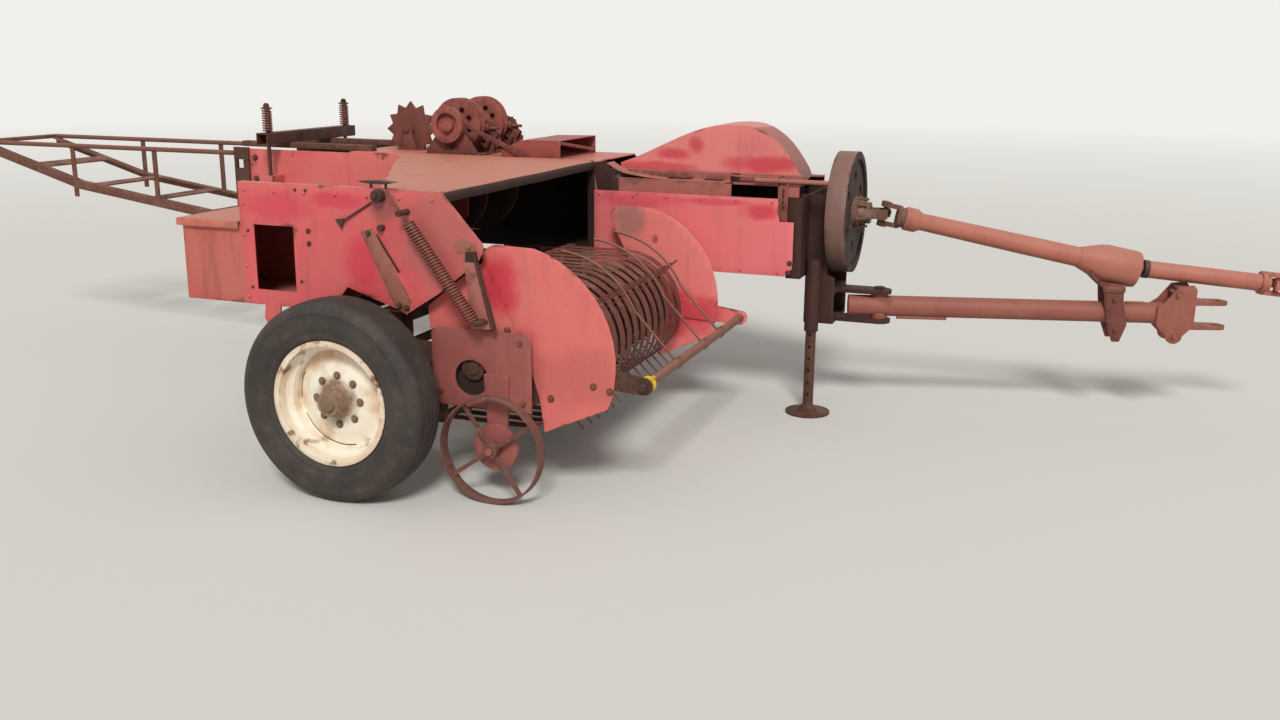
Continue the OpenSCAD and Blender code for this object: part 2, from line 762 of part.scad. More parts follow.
module knotter_frame() {
    star_plate_t = 8;
    color(rust) {
        for (y = knot_plates) round_shaft(y, knot_plate_t) difference() {
            base = top_z - knotter_z;
            union() {
                polygon([[-knot_half, base], [knot_half, base], [knot_half, base + 22], [34, 0], [-34, 0],
                    [-knot_half, base + 22]]);
                circle(36);
            }
            circle(knot_r + run_fit);
            translate([0, -82]) circle(24);
        }
        for (y = needle_ys) knot_head(y);
        for (y = [line_y - star_out, line_y + star_out - star_plate_t])
            plate(y, star_plate_t) difference() {
            union() {
                polygon([[star_x - 50, top_z], [star_x + 50, top_z], [star_x + 20, star_z],
                    [star_x - 20, star_z]]);
                translate([star_x, star_z]) circle(26);
            }
            translate([star_x, star_z]) circle(star_shaft_r + run_fit);
        }
        for (x = [knotter_x - knot_half - 10, knotter_x + knot_half - 30])
            box([x, knot_plates[0], top_z], [x + 40, knot_plates[2] + knot_plate_t, top_z + knot_foot_t]);
        plate(knot_plates[0] - 8, 9) polygon([[knotter_x + 8, knotter_z + 34],
            [knotter_x + 20, knotter_z + 18],
            [-52, top_z], [-18, top_z], [-22, top_z + 14]]);
    }
}

module knotter_shaft() {
    ring_y0 = knot_plates[0] - 37;
    color(rust) {
        bar_y(knotter_x, knotter_z, ring_y0, knot_plates[2] + knot_plate_t + 8, knot_r);
        difference() {
            bar_y(knotter_x, knotter_z, ring_y0, ring_y0 + 24, 76);
            bar_y(knotter_x, knotter_z, ring_y0 - 1, ring_y0 + 18, 50);
        }
        bar_y(knotter_x, knotter_z, ring_y0, ring_y0 + 24, 28);
        for (y = needle_ys) {
            difference() {
                bar_y(knotter_x, knotter_z, y - cam_half, y + cam_half, cam_r);
                bar_y(knotter_x, knotter_z, y - cam_groove, y + cam_groove, cam_r + 1);
                for (a = [0:45:315]) about_shaft(a) translate([cam_r + 8, y - 30, -12]) cube([30, 60, 24]);
                for (a = [22.5:45:337.5]) about_shaft(a) translate([62, y - 30, 0]) rotate([-90, 0, 0])
                    cylinder(h = 60, r = 13);
            }
            bar_y(knotter_x, knotter_z, y - cam_half, y + cam_half, cam_groove_r - 40);
            difference() {
                bar_y(knotter_x, knotter_z, y - cam_groove - 1, y + cam_groove + 1, cam_groove_r);
                bar_y(knotter_x, knotter_z, y - cam_groove - 2, y + cam_groove + 2, cam_groove_r - 8);
            }
            for (a = [-24:8:24]) about_shaft(a + 70) translate([82, y + cam_half - 1, -2]) cube([22, 6, 4]);
        }
    }
}

module about_shaft(a) {
    translate([knotter_x, 0, knotter_z]) rotate([0, a, 0]) children();
}

// Cover over the trip rods, open toward the front
kc_x0 = -150;
kc_x1 = 125;
kc_y0 = line_y - 192;
kc_y1 = line_y + 195;
kc_h = 76;
kc_t = 3;

module knotter_cover() {
    color(red) {
        difference() {
            plate(kc_y0, kc_y1 - kc_y0) polygon([[kc_x0, top_z], [kc_x1, top_z], [kc_x1, top_z + kc_h],
                [kc_x0 + 90, top_z + kc_h - 4], [kc_x0, top_z + 30]]);
            plate(kc_y0 + kc_t, kc_y1 - kc_y0 - 2 * kc_t)
                polygon([[kc_x0 + kc_t, top_z - 1], [kc_x1 + 1, top_z - 1],
                [kc_x1 + 1, top_z + kc_h - kc_t], [kc_x0 + 90 + kc_t / 2, top_z + kc_h - 4 - kc_t],
                [kc_x0 + kc_t, top_z + 30 - kc_t / 2]]);
        }
        plate_x(kc_x1 - 6, 3) polygon([[kc_y0 + 2, top_z + kc_h - 16], [kc_y0 + 2, top_z + kc_h - 2],
            [kc_y1 - 2, top_z + 22], [kc_y1 - 2, top_z + 8]]);
    }
}

// Star wheel on top of the chamber
module star_wheel() {
    color(dark) difference() {
        union() {
            plate(line_y - star_t / 2, star_t)
                polygon([for (i = [0:23]) let (r = i % 2 == 0 ? star_r : star_r - 28)
                [star_x + r * cos(i * 15), star_z + r * sin(i * 15)]]);
            bar_y(star_x, star_z, line_y - star_out - 6, line_y + star_out + 6, star_shaft_r);
        }
    }
}

// Tension bar over the rails
bar_h = 50;
bar_w = 60;
tension_coil_h = 104;
tension_wire = 4;

module tension_bar() {
    z = top_z + rail_h;
    y0 = line_y - bolt_off - 45;
    y1 = line_y + bolt_off + 45;
    color(dark) {
        difference() {
            box([tension_x - bar_w / 2, y0, z], [tension_x + bar_w / 2, y1, z + bar_h]);
            box([tension_x - bar_w / 2 + 6, y0 - 1, z - 1], [tension_x + bar_w / 2 - 6, y1 + 1,
                z + bar_h - 6]);
            for (s = [-1, 1]) translate([tension_x, line_y + s * bolt_off, z]) cylinder(h = bar_h + 1,
                r = bolt_r + seat_gap);
        }
        for (s = [-1, 1]) translate([tension_x, line_y + s * bolt_off, bolt_lug_z - 40]) {
            cylinder(h = z + bar_h + 130 - bolt_lug_z + 40, r = bolt_r);
            translate([0, 0, 20]) cylinder(h = 20, r = 18, $fn = 6);
            translate([0, 0, z + bar_h - bolt_lug_z + 40 + tension_coil_h + 2 * seat_gap])
                cylinder(h = 6, r = 24);
            translate([0, 0, z + bar_h - bolt_lug_z + 40 + tension_coil_h + 6]) cylinder(h = 14, r = 15,
                $fn = 6);
        }
    }
}

module tension_springs() {
    color(rust) for (s = [-1, 1]) translate([tension_x, line_y + s * bolt_off,
        top_z + rail_h + bar_h + seat_gap])
        wire(helix(tension_wire * cos(30), tension_coil_h - tension_wire * cos(30), 19, 9, 10),
            tension_wire, 6);
}

// Chute behind the chamber
chute_x0 = chamber_rear - hoop_w;
chute_pts = [[chute_x0, 668], [-1780, 705], [-2450, 797], [chute_end, 967]];
chute_rail_h = 38;
chute_t = 6;
chute_rod_r = 11;
chute_rod_z = 968;

module chute_band(h) {
    polygon(concat(chute_pts, [for (i = [3:-1:0]) chute_pts[i] - [0, h]]));
}

module chute() {
    color(rust) {
        for (y = [near_y - chute_t, far_y]) plate(y, chute_t) chute_band(chute_rail_h);
        for (y = [near_y, far_y - 34]) plate(y, 34) chute_band(chute_t);
        for (x = [-1650, -2000, -2350, -2700]) plate(near_y, far_y - near_y) intersection() {
            translate([x - 30, 500]) square([60, 600]);
            chute_band(chute_t);
        }
        for (y = [near_y - chute_t / 2, far_y + chute_t / 2]) {
            bar_x(y, chute_rod_z, chute_end, chute_x0, chute_rod_r);
            for (x = [-1980, -2480]) translate([x, y - 3, 720]) cube([25, 6, chute_rod_z - 720]);
        }
        bar_y(chute_end, chute_rod_z, near_y - chute_t / 2, far_y + chute_t / 2, chute_rod_r);
    }
}

// Parking jack
jack_r = 21;
jack_sleeve_r = 28;
jack_x = front_x + frame_t + jack_sleeve_r + 6;
jack_y = frame_y0 - 40;
jack_low = 345;
jack_high = 640;

module jack_sleeve() {
    color(rust) difference() {
        union() {
            translate([jack_x, jack_y, jack_low]) cylinder(h = jack_high - jack_low, r = jack_sleeve_r);
            box([jack_x - 20, jack_y, jack_low + 120], [jack_x + 20, frame_y0, jack_low + 160]);
            box([jack_x - 20, jack_y, jack_high - 50], [jack_x + 20, frame_y0, jack_high - 10]);
        }
        translate([jack_x, jack_y, jack_low - 1]) cylinder(h = jack_high - jack_low + 2,
            r = jack_r + seat_gap);
    }
}

module jack_leg() {
    color(rust) {
        difference() {
            translate([jack_x, jack_y, 8]) cylinder(h = jack_high - 30, r = jack_r);
            for (z = [80:50:330]) bar_y(jack_x, z, jack_y - jack_r - 1, jack_y + jack_r + 1, 6);
        }
        translate([jack_x, jack_y, 0]) cylinder(h = 8, r = 90);
        translate([jack_x, jack_y, 8]) cylinder(h = 30, r1 = 40, r2 = jack_r);
    }
}

// Counterweight spring of the pickup
spring_top = [180, 935];
spring_bot = [440, 600];
spring_y = side_y - 39;
spring_r = 21;
spring_wire = 3;
hook_len = 20;
hook_rise = 24;
spring_turns = 34;
spring_len = norm(spring_bot - spring_top);
spring_a = atan2(spring_top[1] - spring_bot[1], spring_top[0] - spring_bot[0]);

module lift_spring() {
    r = spring_r - spring_wire;
    half = helix(spring_len / 2, spring_len - hook_len - hook_rise, r, spring_turns / 2, 10);
    upper = concat(half, coil_hook(spring_len - hook_len - hook_rise, hook_rise, r, 8),
        [[0, 0, spring_len - stud_r - seat_gap]]);
    lower = [for (i = [len(upper) - 1:-1:1]) [upper[i][0], -upper[i][1], spring_len - upper[i][2]]];
    color(dark) translate([spring_bot[0], spring_y, spring_bot[1]]) rotate([0, 90 - spring_a, 0])
        wire(concat(lower, upper), spring_wire, 6);
}

// Road wheels
module tyre_profile() {
    h = tyre_w / 2;
    bead = rim_r - 12;
    side = [[bead, h - 25], [rim_r + 2, h - 23], [rim_r + 8, h - 14], [rim_r + 28, h - 4], [rim_r + 50, h],
        [tyre_r - 50, h - 1], [tyre_r - 26, h - 6], [tyre_r - 10, h - 15], [tyre_r - 3, h - 28],
            [tyre_r, h - 45]];
    polygon(concat(side, [for (i = [len(side) - 1:-1:0]) [side[i][0], -side[i][1]]]));
}

module tyre_at(side) {
    color(rubber) translate([0, side * half_track, tyre_r]) rotate([90, 0, 0]) rotate_extrude($fn = 96)
        tyre_profile();
}

module rim_profile() {
    h = tyre_w / 2 - 25;
    b = rim_r - 12 - seat_gap;
    polygon([[b - 6, -h - 9], [rim_r, -h - 9], [rim_r, -h - 4], [b, -h - 4], [b, -h + 25],
        [b - 22, -h + 35],
        [b - 22, h - 35], [b, h - 25], [b, h + 4], [rim_r, h + 4], [rim_r, h + 9], [b - 6, h + 9],
        [b - 6, h - 28], [b - 28, h - 38], [b - 28, -h + 38], [b - 6, -h + 28]]);
}

// Dished disc and hub, turned with the outer side toward positive
module disc_profile() {
    b = rim_r - 12 - seat_gap - 28;
    polygon([[b, -26], [b, -18], [150, -10], [105, 12], [60, 12], [45, 30], [45, 50], [spindle_r + run_fit,
        50],
        [spindle_r + run_fit, -hub_half], [50, -hub_half], [50, -10], [60, 4], [100, 4], [146, -18]]);
}

module rim_at(side) {
    color(cream) translate([0, side * half_track, tyre_r]) rotate([90, 0, 0]) scale_side(side) {
        rotate_extrude($fn = 96) rim_profile();
        difference() {
            rotate_extrude($fn = 96) disc_profile();
            for (i = [0:7]) rotate(i * 45) translate([82, 0, -5]) cylinder(h = 30, r = 8);
        }
        translate([0, 0, 60]) cylinder(h = 12, r = 40);
        difference() {
            translate([0, 0, 50]) cylinder(h = 11, r = 44);
            translate([0, 0, 49]) cylinder(h = 11, r = spindle_r + run_fit);
        }
    }
}

// Turns a wheel so that its outer side faces away from the machine
module scale_side(side) {
    if (side < 0) children();
    else rotate([180, 0, 0]) children();
}

module flywheel() {
    x1 = 1344;
    x0 = x1 - flywheel_w;
    color(rust) {
        difference() {
            union() {
                difference() {
                    bar_x(line_y, drive_z, x0, x1, flywheel_r);
                    bar_x(line_y, drive_z, x0 - 1, x1 - 22, flywheel_r - 24);
                    bar_x(line_y, drive_z, x1 - 10, x1 + 1, flywheel_r - 30);
                }
                bar_x(line_y, drive_z, x0, x1 + 14, 60);
            }
            for (a = [30:60:330]) translate([x1 - 40, line_y, drive_z]) rotate([a, 0, 0])
                translate([0, 140, 0]) rotate([0, 90, 0]) cylinder(h = 60, r = 26);
        }
        bar_x(line_y, drive_z, input_x + 20, x0 + 1, drive_shaft_r);
        bar_x(line_y, drive_z, x1 + 13, x1 + 34, 48);
        for (s = [-1, 1]) box([x1 + 30, line_y + s * ear_mid - ear_t / 2, drive_z - ear_round],
            [pivot_x + ear_round, line_y + s * ear_mid + ear_t / 2, drive_z + ear_round]);
    }
}

// Universal joint ears and cross
ear_mid = 37;
ear_t = 16;
ear_round = 18;
cross_pin_r = 9;
cross_ball_r = ear_mid - ear_t / 2 - seat_gap;

// Cross of a universal joint, held by the ears that stand along Z
module joint_cross() {
    intersection() {
        union() {
            bar_z(0, 0, -ear_mid, ear_mid, cross_pin_r);
            bar_y(0, 0, -ear_mid, ear_mid, cross_pin_r);
        }
        sphere(cross_ball_r);
    }
    bar_z(0, 0, -ear_mid, ear_mid, cross_pin_r);
}

// Yoke that reaches from the left, with its ears along Z
module yoke_z() {
    for (s = [-1, 1]) box([-60, -ear_round, s * ear_mid - ear_t / 2], [ear_round, ear_round,
        s * ear_mid + ear_t / 2]);
    bar_x(0, 0, -66, -50, ear_mid + ear_t / 2);
}

// Frame of the tongue, with the pivot at its origin
module on_tongue() {
    translate([pivot_x, line_y, 0]) rotate([0, 0, tongue_heading]) children();
}

pipe_back = 125;
pipe_t = 8;
pipe_front = tongue_len - 120;

module tongue() {
    color(rust) on_tongue() difference() {
        union() {
            bar_x(0, tongue_z, -pipe_back, pipe_front, tongue_r);
            translate([0, 0, tongue_z - tongue_r - lug_gap + 1]) cylinder(h = 2 * (tongue_r + lug_gap - 1),
                r = sleeve_r);
            bar_x(-14, tongue_z + tongue_r, post_u + 60, post_u + 130, 6);
            bar_x(-16, tongue_z - tongue_r - 1, 70, 270, 7);
        }
        bar_x(0, tongue_z, -pipe_back - 1, -sleeve_r - 6, tongue_r - pipe_t);
        bar_x(0, tongue_z, sleeve_r + 6, pipe_front + 1, tongue_r - pipe_t);
        translate([0, 0, tongue_z - 200]) cylinder(h = 400, r = pivot_pin_r + run_fit);
    }
}

rear_slope = atan2(drive_z - carrier_z, carrier_u);
rear_len = carrier_u / cos(rear_slope);
front_slope = 5.6;
shaft_r = 24;
inner_bar_r = 18;
outer_tube_r = 30;
pto_r = 17.6;
pto_len = 78;

// Bearing block round the rear shaft, ahead of its shield
block_r = 53;
block_u0 = rear_len - 112;
block_u1 = rear_len - 84;

// Post of two flat bars that hold the block over the tongue pipe
post_u = carrier_u - 18;
post_half = 37;
post_t = 8;
post_bolt_r = 8;
post_tip_z = tongue_z - 112;

// Frame of the rear shaft, with its universal joint at the origin
module on_rear_shaft() {
    on_tongue() translate([0, 0, drive_z]) rotate([0, rear_slope, 0]) children();
}

module post_outline() {
    top = carrier_z - bell_r + 6;
    neck_u = block_u0 * cos(rear_slope);
    neck_z = drive_z - block_u0 * sin(rear_slope);
    lean = 26;
    polygon([[neck_u + 2, neck_z + 4], [neck_u + 24, neck_z + 2], [neck_u + 14, neck_z - 50],
        [neck_u + 30, top + 12], [post_u + post_half, top],
        [post_u + post_half + 6, tongue_z + tongue_r], [post_u + post_half + lean, tongue_z - tongue_r],
        [post_u + lean + 14, post_tip_z], [post_u + lean - 14, post_tip_z],
        [post_u - post_half + lean, tongue_z - tongue_r - 14], [post_u - post_half + 6,
            tongue_z + tongue_r],
        [post_u - post_half, top - 20], [neck_u - 6, top + 34]]);
}

module carrier_post() {
    side_v = tongue_r + seat_gap / 3;
    color(dark) difference() {
        union() {
            on_tongue() {
                for (v = [side_v, -side_v - post_t]) plate(v, post_t) post_outline();
                for (z = [tongue_z + 62, tongue_z - 62])
                    bar_y(post_u + (z > tongue_z ? 6 : 20), z, -side_v - post_t - 14, side_v + post_t + 14,
                        post_bolt_r);
                box([post_u - post_half - 6, -side_v - post_t - 5, tongue_z + 88],
                    [post_u + post_half + 6, -side_v - post_t, tongue_z + 112]);
            }
            on_rear_shaft() bar_x(0, 0, block_u0, block_u1, block_r);
        }
        on_rear_shaft() bar_x(0, 0, block_u0 - 1, block_u1 + 1, shaft_r + run_fit);
    }
}

// Clevis at the front of the tongue, with gusset plates beside the pipe
clevis_w = 52;
clevis_t = 14;
gusset_t = 10;
// Gap between the gusset plates' top and the driveline above them
gusset_gap = 6;
gusset_top = carrier_z - (pipe_front + 12 - carrier_u) * tan(front_slope)
    - outer_tube_r / cos(front_slope) - gusset_gap;

module gusset_outline() {
    u = pipe_front;
    polygon(concat([[u - 118, tongue_z - tongue_r], [u - 118, tongue_z + tongue_r - 8],
        [u - 92, tongue_z + tongue_r + 10],
        [u - 44, gusset_top - 8], [u + 12, gusset_top], [u + 25, gusset_top - 18],
            [u + 25, tongue_z - tongue_r]],
        arc(u - 46, tongue_z - 82, 32, 0, -180, 10)));
}

module hitch_clevis() {
    half = tongue_r + clevis_t;
    side_v = tongue_r + seat_gap / 3;
    color(dark) on_tongue() difference() {
        union() {
            for (v = [side_v, -side_v - gusset_t]) plate(v, gusset_t) gusset_outline();
            box([pipe_front - 40, -side_v - gusset_t, gusset_top - 24], [pipe_front + 12, side_v + gusset_t,
                gusset_top - 14]);
            for (z = [-82, 86]) bar_y(pipe_front - 46, tongue_z + z, -side_v - gusset_t - 12,
                side_v + gusset_t + 12, 9);
            for (z = [tongue_z - half, tongue_z + tongue_r]) translate([0, 0, z]) linear_extrude(clevis_t)
                polygon(concat(
                [[pipe_front - 60, -clevis_w]], arc(tongue_len, 0, 40, -75, 75, 10),
                    [[pipe_front - 60, clevis_w]]));
        }
        bar_x(0, tongue_z, pipe_front - 141, pipe_front + seat_gap, tongue_r + seat_gap / 3);
        bar_z(tongue_len, 0, tongue_z - half - 1, tongue_z + half + 1, hitch_r);
    }
}

shield_r = 50;
bell_r = 74;
bell_len = 162;
shield_t = 4;

module driveline_shield() {
    color(rust) on_rear_shaft() {
        difference() {
            bar_x(0, 0, 80, block_u0, shield_r);
            bar_x(0, 0, 79, block_u0 + 1, shield_r - shield_t);
        }
        translate([block_u1, 0, 0]) rotate([0, 90, 0]) difference() {
            union() {
                cylinder(h = 22, r1 = shield_r, r2 = bell_r);
                translate([0, 0, 22]) cylinder(h = bell_len - 22, r = bell_r);
            }
            translate([0, 0, -0.01]) cylinder(h = 22.02, r1 = shield_r - shield_t, r2 = bell_r - shield_t);
            translate([0, 0, 22]) cylinder(h = bell_len, r = bell_r - shield_t);
        }
    }
}

module driveline_rear() {
    color(rust) on_tongue() translate([0, 0, drive_z]) rotate([0, rear_slope, 0]) {
        bar_x(0, 0, 60, rear_len - 60, shaft_r);
        mirror([1, 0, 0]) yoke_z();
        joint_cross();
        translate([rear_len, 0, 0]) rotate([90, 0, 0]) yoke_z();
    }
}

module bar_z(x, y, z0, z1, r) {
    translate([x, y, z0]) cylinder(h = z1 - z0, r = r);
}

module driveline_front() {
    color(rust) on_tongue() translate([carrier_u, 0, carrier_z]) rotate([0, front_slope, 0]) {
        bar_x(0, 0, 60, 450, inner_bar_r);
        mirror([1, 0, 0]) yoke_z();
        joint_cross();
    }
}

front_len = (shaft_end_u - carrier_u) / cos(front_slope);

module driveline_yoke() {
    joint_x = front_len - pto_len - 64;
    color(rust) on_tongue() translate([carrier_u, 0, carrier_z]) rotate([0, front_slope, 0]) {
        difference() {
            bar_x(0, 0, 110, joint_x - 50, outer_tube_r);
            bar_x(0, 0, 109, joint_x - 70, inner_bar_r + seat_gap);
        }
        translate([joint_x, 0, 0]) yoke_z();
        bar_z(joint_x, 0, -ear_mid, ear_mid, cross_pin_r);
        bar_y(joint_x, 0, -ear_mid, ear_mid, cross_pin_r);
        for (s = [-1, 1]) box([joint_x - ear_round, s * ear_mid - ear_t / 2, -ear_round],
            [joint_x + 60, s * ear_mid + ear_t / 2, ear_round]);
        difference() {
            bar_x(0, 0, joint_x + 50, front_len, ear_mid + ear_t / 2 - 3);
            bar_x(0, 0, front_len - pto_len, front_len + 1, pto_r);
        }
    }
}

// Pickup
pickup_t = 4;

module pickup_outline() {
    polygon(concat([[561, 502], [417, 779]], arc(470, 776, 62, 150, 92, 4), arc(500, 470, 376, 75, -18, 12),
        [[846, 332], [628, 232], [612, 339]]));
}

module pickup_sheet_right() {
    color(red) plate(pickup_right, pickup_t) pickup_outline();
}

module pickup_sheet_left() {
    color(red) plate(pickup_left - pickup_t, pickup_t) pickup_outline();
}

reel_shaft_r = 18;
tine_bar_r = 130;
link_y = side_y - 15;
link_top = [384, 818];
band_w = 44;
band_t = 2;
band_end_x = 232;
band_bar = 25;
arm_t = 8;
// Room left beside the outer tines
tine_margin = 70;
tine_count = floor((pickup_left - pickup_right - 2 * tine_margin) / tine_pitch);
tine_y0 = (pickup_right + pickup_left) / 2 - tine_pitch * (tine_count - 1) / 2;

module pickup_strippers() {
    color(rust) {
        for (i = [0:tine_count]) plate(tine_y0 + tine_pitch * (i - 0.5) - band_w / 2, band_w)
            polygon(concat(
            [[band_end_x, reel_z - band_r]], arc(reel_x, reel_z, band_r, -90, 90, 18),
                [[band_end_x, reel_z + band_r]],
            [[band_end_x, reel_z + band_r - band_t]], arc(reel_x, reel_z, band_r - band_t, 90, -90, 18),
            [[band_end_x, reel_z - band_r + band_t]]));
        for (z = [reel_z - band_r + band_t, reel_z + band_r - band_t - band_bar])
            box([band_end_x, pickup_right + pickup_t + arm_t, z],
                [band_end_x + 25, pickup_left - pickup_t - arm_t, z + band_bar]);
    }
}

// Cross tube, arms and studs that carry the pickup
cross_r = 16;
stud_r = 10;

module pickup_arm(y) {
    plate(y, arm_t) difference() {
        union() {
            translate([lift_x, lift_z]) circle(30);
            polygon([[lift_x, lift_z - 30], [reel_x - 90, reel_z - 45], [reel_x + 190, reel_z - 40],
                [reel_x + 190, reel_z + 40], [reel_x - 90, reel_z + 45], [lift_x, lift_z + 30]]);
            polygon([[reel_x + 180, reel_z - 40], [guard_x, guard_z - guard_boss],
                [guard_x, guard_z + guard_boss],
                [reel_x + 180, reel_z + 40]]);
            translate([guard_x, guard_z]) circle(guard_boss);
            translate([band_end_x - 5, reel_z - band_r]) square([40, 2 * band_r]);
        }
        translate([lift_x, lift_z]) circle(cross_r);
        translate([reel_x, reel_z]) circle(reel_shaft_r + run_fit);
        translate([guard_x, guard_z]) circle(guard_r + run_fit);
    }
}

// Outline of the link beside the side sheet, from its left edge over a width w
module link_outline(w) {
    low = spring_bot - [20, 28];
    polygon([low, low + [w, 6], link_top + [w, 6], link_top]);
}

module pickup_frame() {
    arm_y = pickup_right + pickup_t;
    color(dark) {
        bar_y(lift_x, lift_z, arm_y, pickup_left - pickup_t, cross_r);
        plate(arm_y, arm_t) polygon([[spring_bot[0] - 26, reel_z], [spring_bot[0] + 26, reel_z],
            [spring_bot[0] + 20, spring_bot[1] + 18], [spring_bot[0] - 20, spring_bot[1] + 18]]);
        pickup_arm(arm_y);
        pickup_arm(pickup_left - pickup_t - arm_t);
        bar_y(spring_bot[0], spring_bot[1], spring_y - spring_r, arm_y, stud_r);
        bar_y(shield_hole[0], shield_hole[1] + 30, shield_y + 6, arm_y + 1, 22);
        bar_y(shield_hole[0], shield_hole[1] + 30, shield_y + 12, shield_y + 18, 40);
        plate(link_y, 6) link_outline(45);
        plate(link_y - 10, 11) intersection() {
            link_outline(45);
            translate([39, -1]) link_outline(12);
        }
    }
}

// Plate, hub carrier and stub axle of the gauge wheel
shield_y = pickup_right - 36;
gauge_x = 480;
gauge_y1 = side_y - 14;
gauge_hub_r = 24;
gauge_drum_r = 78;
shield_hole = [384, 400];
gauge_axle_r = 12;

module pickup_shield() {
    color(rust) {
        difference() {
            plate(shield_y, 4) difference() {
                polygon([[240, 330], [270, 300], [600, 300], [600, 545], [575, 562], [262, 562],
                    [240, 545]]);
                translate(shield_hole) circle(60);
            }
        }
        bar_y(gauge_x, gauge_r, gauge_y1 + 6, shield_y - 11, gauge_drum_r);
        for (x = [300, 548]) box([x - 12, shield_y + 4, reel_z - 12], [x + 12, pickup_right + pickup_t,
            reel_z + 12]);
        plate(shield_y - 12, 12) polygon([[gauge_x - 30, gauge_r - 30], [gauge_x + 30, gauge_r - 30],
            [gauge_x + 45, 420], [gauge_x - 45, 420]]);
        bar_y(gauge_x, gauge_r, gauge_y1 - gauge_w - 10, shield_y - 12, gauge_axle_r);
    }
}

module pickup_reel() {
    y0 = pickup_right + pickup_t + arm_t + 6;
    y1 = pickup_left - pickup_t - arm_t - 6;
    color(dark) {
        bar_y(reel_x, reel_z, pickup_right + pickup_t - 6, pickup_left - pickup_t + 6, reel_shaft_r);
        for (y = [y0, y1 - 6]) plate(y, 6) translate([reel_x, reel_z]) circle(150);
        for (k = [0:bar_count - 1]) translate([reel_x, 0, reel_z]) rotate([0, 45 + k * 360 / bar_count, 0])
            {
            translate([tine_bar_r, y0 + 5, 0]) rotate([-90, 0, 0]) cylinder(h = y1 - y0 - 10, r = 13);
            for (i = [0:tine_count - 1]) translate([tine_bar_r, tine_y0 + i * tine_pitch, 0])
                rotate([0, 90, 0]) cylinder(h = tine_tip_r - tine_bar_r, r = 4);
        }
    }
}

module gauge_wheel() {
    y0 = gauge_y1 - gauge_w;
    color(rust) {
        difference() {
            bar_y(gauge_x, gauge_r, y0, gauge_y1, gauge_r);
            bar_y(gauge_x, gauge_r, y0 - 1, gauge_y1 + 1, gauge_r - 7);
        }
        difference() {
            bar_y(gauge_x, gauge_r, y0, gauge_y1, gauge_hub_r);
            bar_y(gauge_x, gauge_r, y0 - 1, gauge_y1 + 1, gauge_axle_r + run_fit);
        }
        for (a = [35:90:305]) plate(y0 + gauge_w / 2 - 4, 8) translate([gauge_x, gauge_r]) rotate(a)
            translate([gauge_hub_r - 4, -7]) square([gauge_r - gauge_hub_r, 14]);
    }
}

// Guard over the pickup: a bar with three curved rods
guard_x = 970;
guard_z = 420;
guard_r = 16;
guard_boss = 28;
guard_rod_r = 6;
guard_rods = [for (y = [pickup_right + 172:250:pickup_left - 200]) y];
guard_path_r = 330;
guard_y0 = pickup_right - 34;
guard_y1 = pickup_left + 22;

module windguard() {
    color(dark) {
        bar_y(guard_x, guard_z, guard_y0, guard_y1, guard_r);
        for (y = guard_rods) plate(y - guard_rod_r, 2 * guard_rod_r)
            polygon(concat([[guard_x, guard_z - guard_rod_r]],
            arc(reel_x, reel_z, guard_path_r - guard_rod_r, 25, 85, 10),
            arc(reel_x, reel_z, guard_path_r + guard_rod_r, 85, 25, 10),
                [[guard_x, guard_z + guard_rod_r]]));
    }
}

module needles() {
    color(dark) {
        for (y = needle_ys) plate(y - needle_t / 2, needle_t) translate([needle_x, needle_z])
            polygon(concat(
            [for (i = [0:12]) let (f = i / 12, a = needle_tip_a + (needle_base_a - needle_tip_a) * f,
                r = needle_tip_r + (needle_base_r - needle_tip_r) * f)
                [r * cos(a), r * sin(a)]],
            [for (i = [12:-1:0]) let (f = i / 12, a = needle_tip_a + (needle_base_a - needle_tip_a) * f,
                r = needle_tip_r + (needle_base_r - needle_tip_r) * f - 8 - 28 * f)
                [r * cos(a), r * sin(a)]]));
        base_x = needle_x + (needle_base_r - 18) * cos(needle_base_a);
        base_z = needle_z + (needle_base_r - 18) * sin(needle_base_a);
        bar_y(base_x, base_z, near_y + 25, far_y - 25, 18);
        for (y = [near_y + 25, far_y - 37]) plate(y, 12) difference() {
            union() {
                translate([needle_x, needle_z]) circle(24);
                translate([base_x, base_z]) circle(26);
                translate([needle_x, needle_z]) rotate(needle_base_a) translate([0, -18])
                    square([needle_base_r - 18, 36]);
            }
            translate([needle_x, needle_z]) circle(needle_pin_r + run_fit);
        }
    }
}

chamber();
chamber_rails();
rear_frame();
plunger();
crank();
gearbox();
crank_cover();
deck_beams();
front_frame();
axle();
cross_beams();
feeder_floor();
feeder_hood();
packer();
side_sheet();
twine_box();
front_panel();
knotter_frame();
knotter_cover();
tension_bar();
tension_springs();
chute();
jack_sleeve();
lift_spring();
twine_lid();
knotter_shaft();
star_wheel();
needles();
flywheel();
tongue();
carrier_post();
hitch_clevis();
driveline_shield();
driveline_rear();
driveline_front();
driveline_yoke();
jack_leg();
tyre_at(-1);  // tyre_right
rim_at(-1);  // rim_right
tyre_at(1);  // tyre_left
rim_at(1);  // rim_left
pickup_sheet_right();
pickup_sheet_left();
pickup_strippers();
pickup_frame();
pickup_shield();
pickup_reel();
gauge_wheel();
windguard();
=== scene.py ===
# Square baler: finishes, small parts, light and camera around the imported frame
import json
import math

import bmesh
import bpy
from mathutils import Matrix, Vector, kdtree, noise


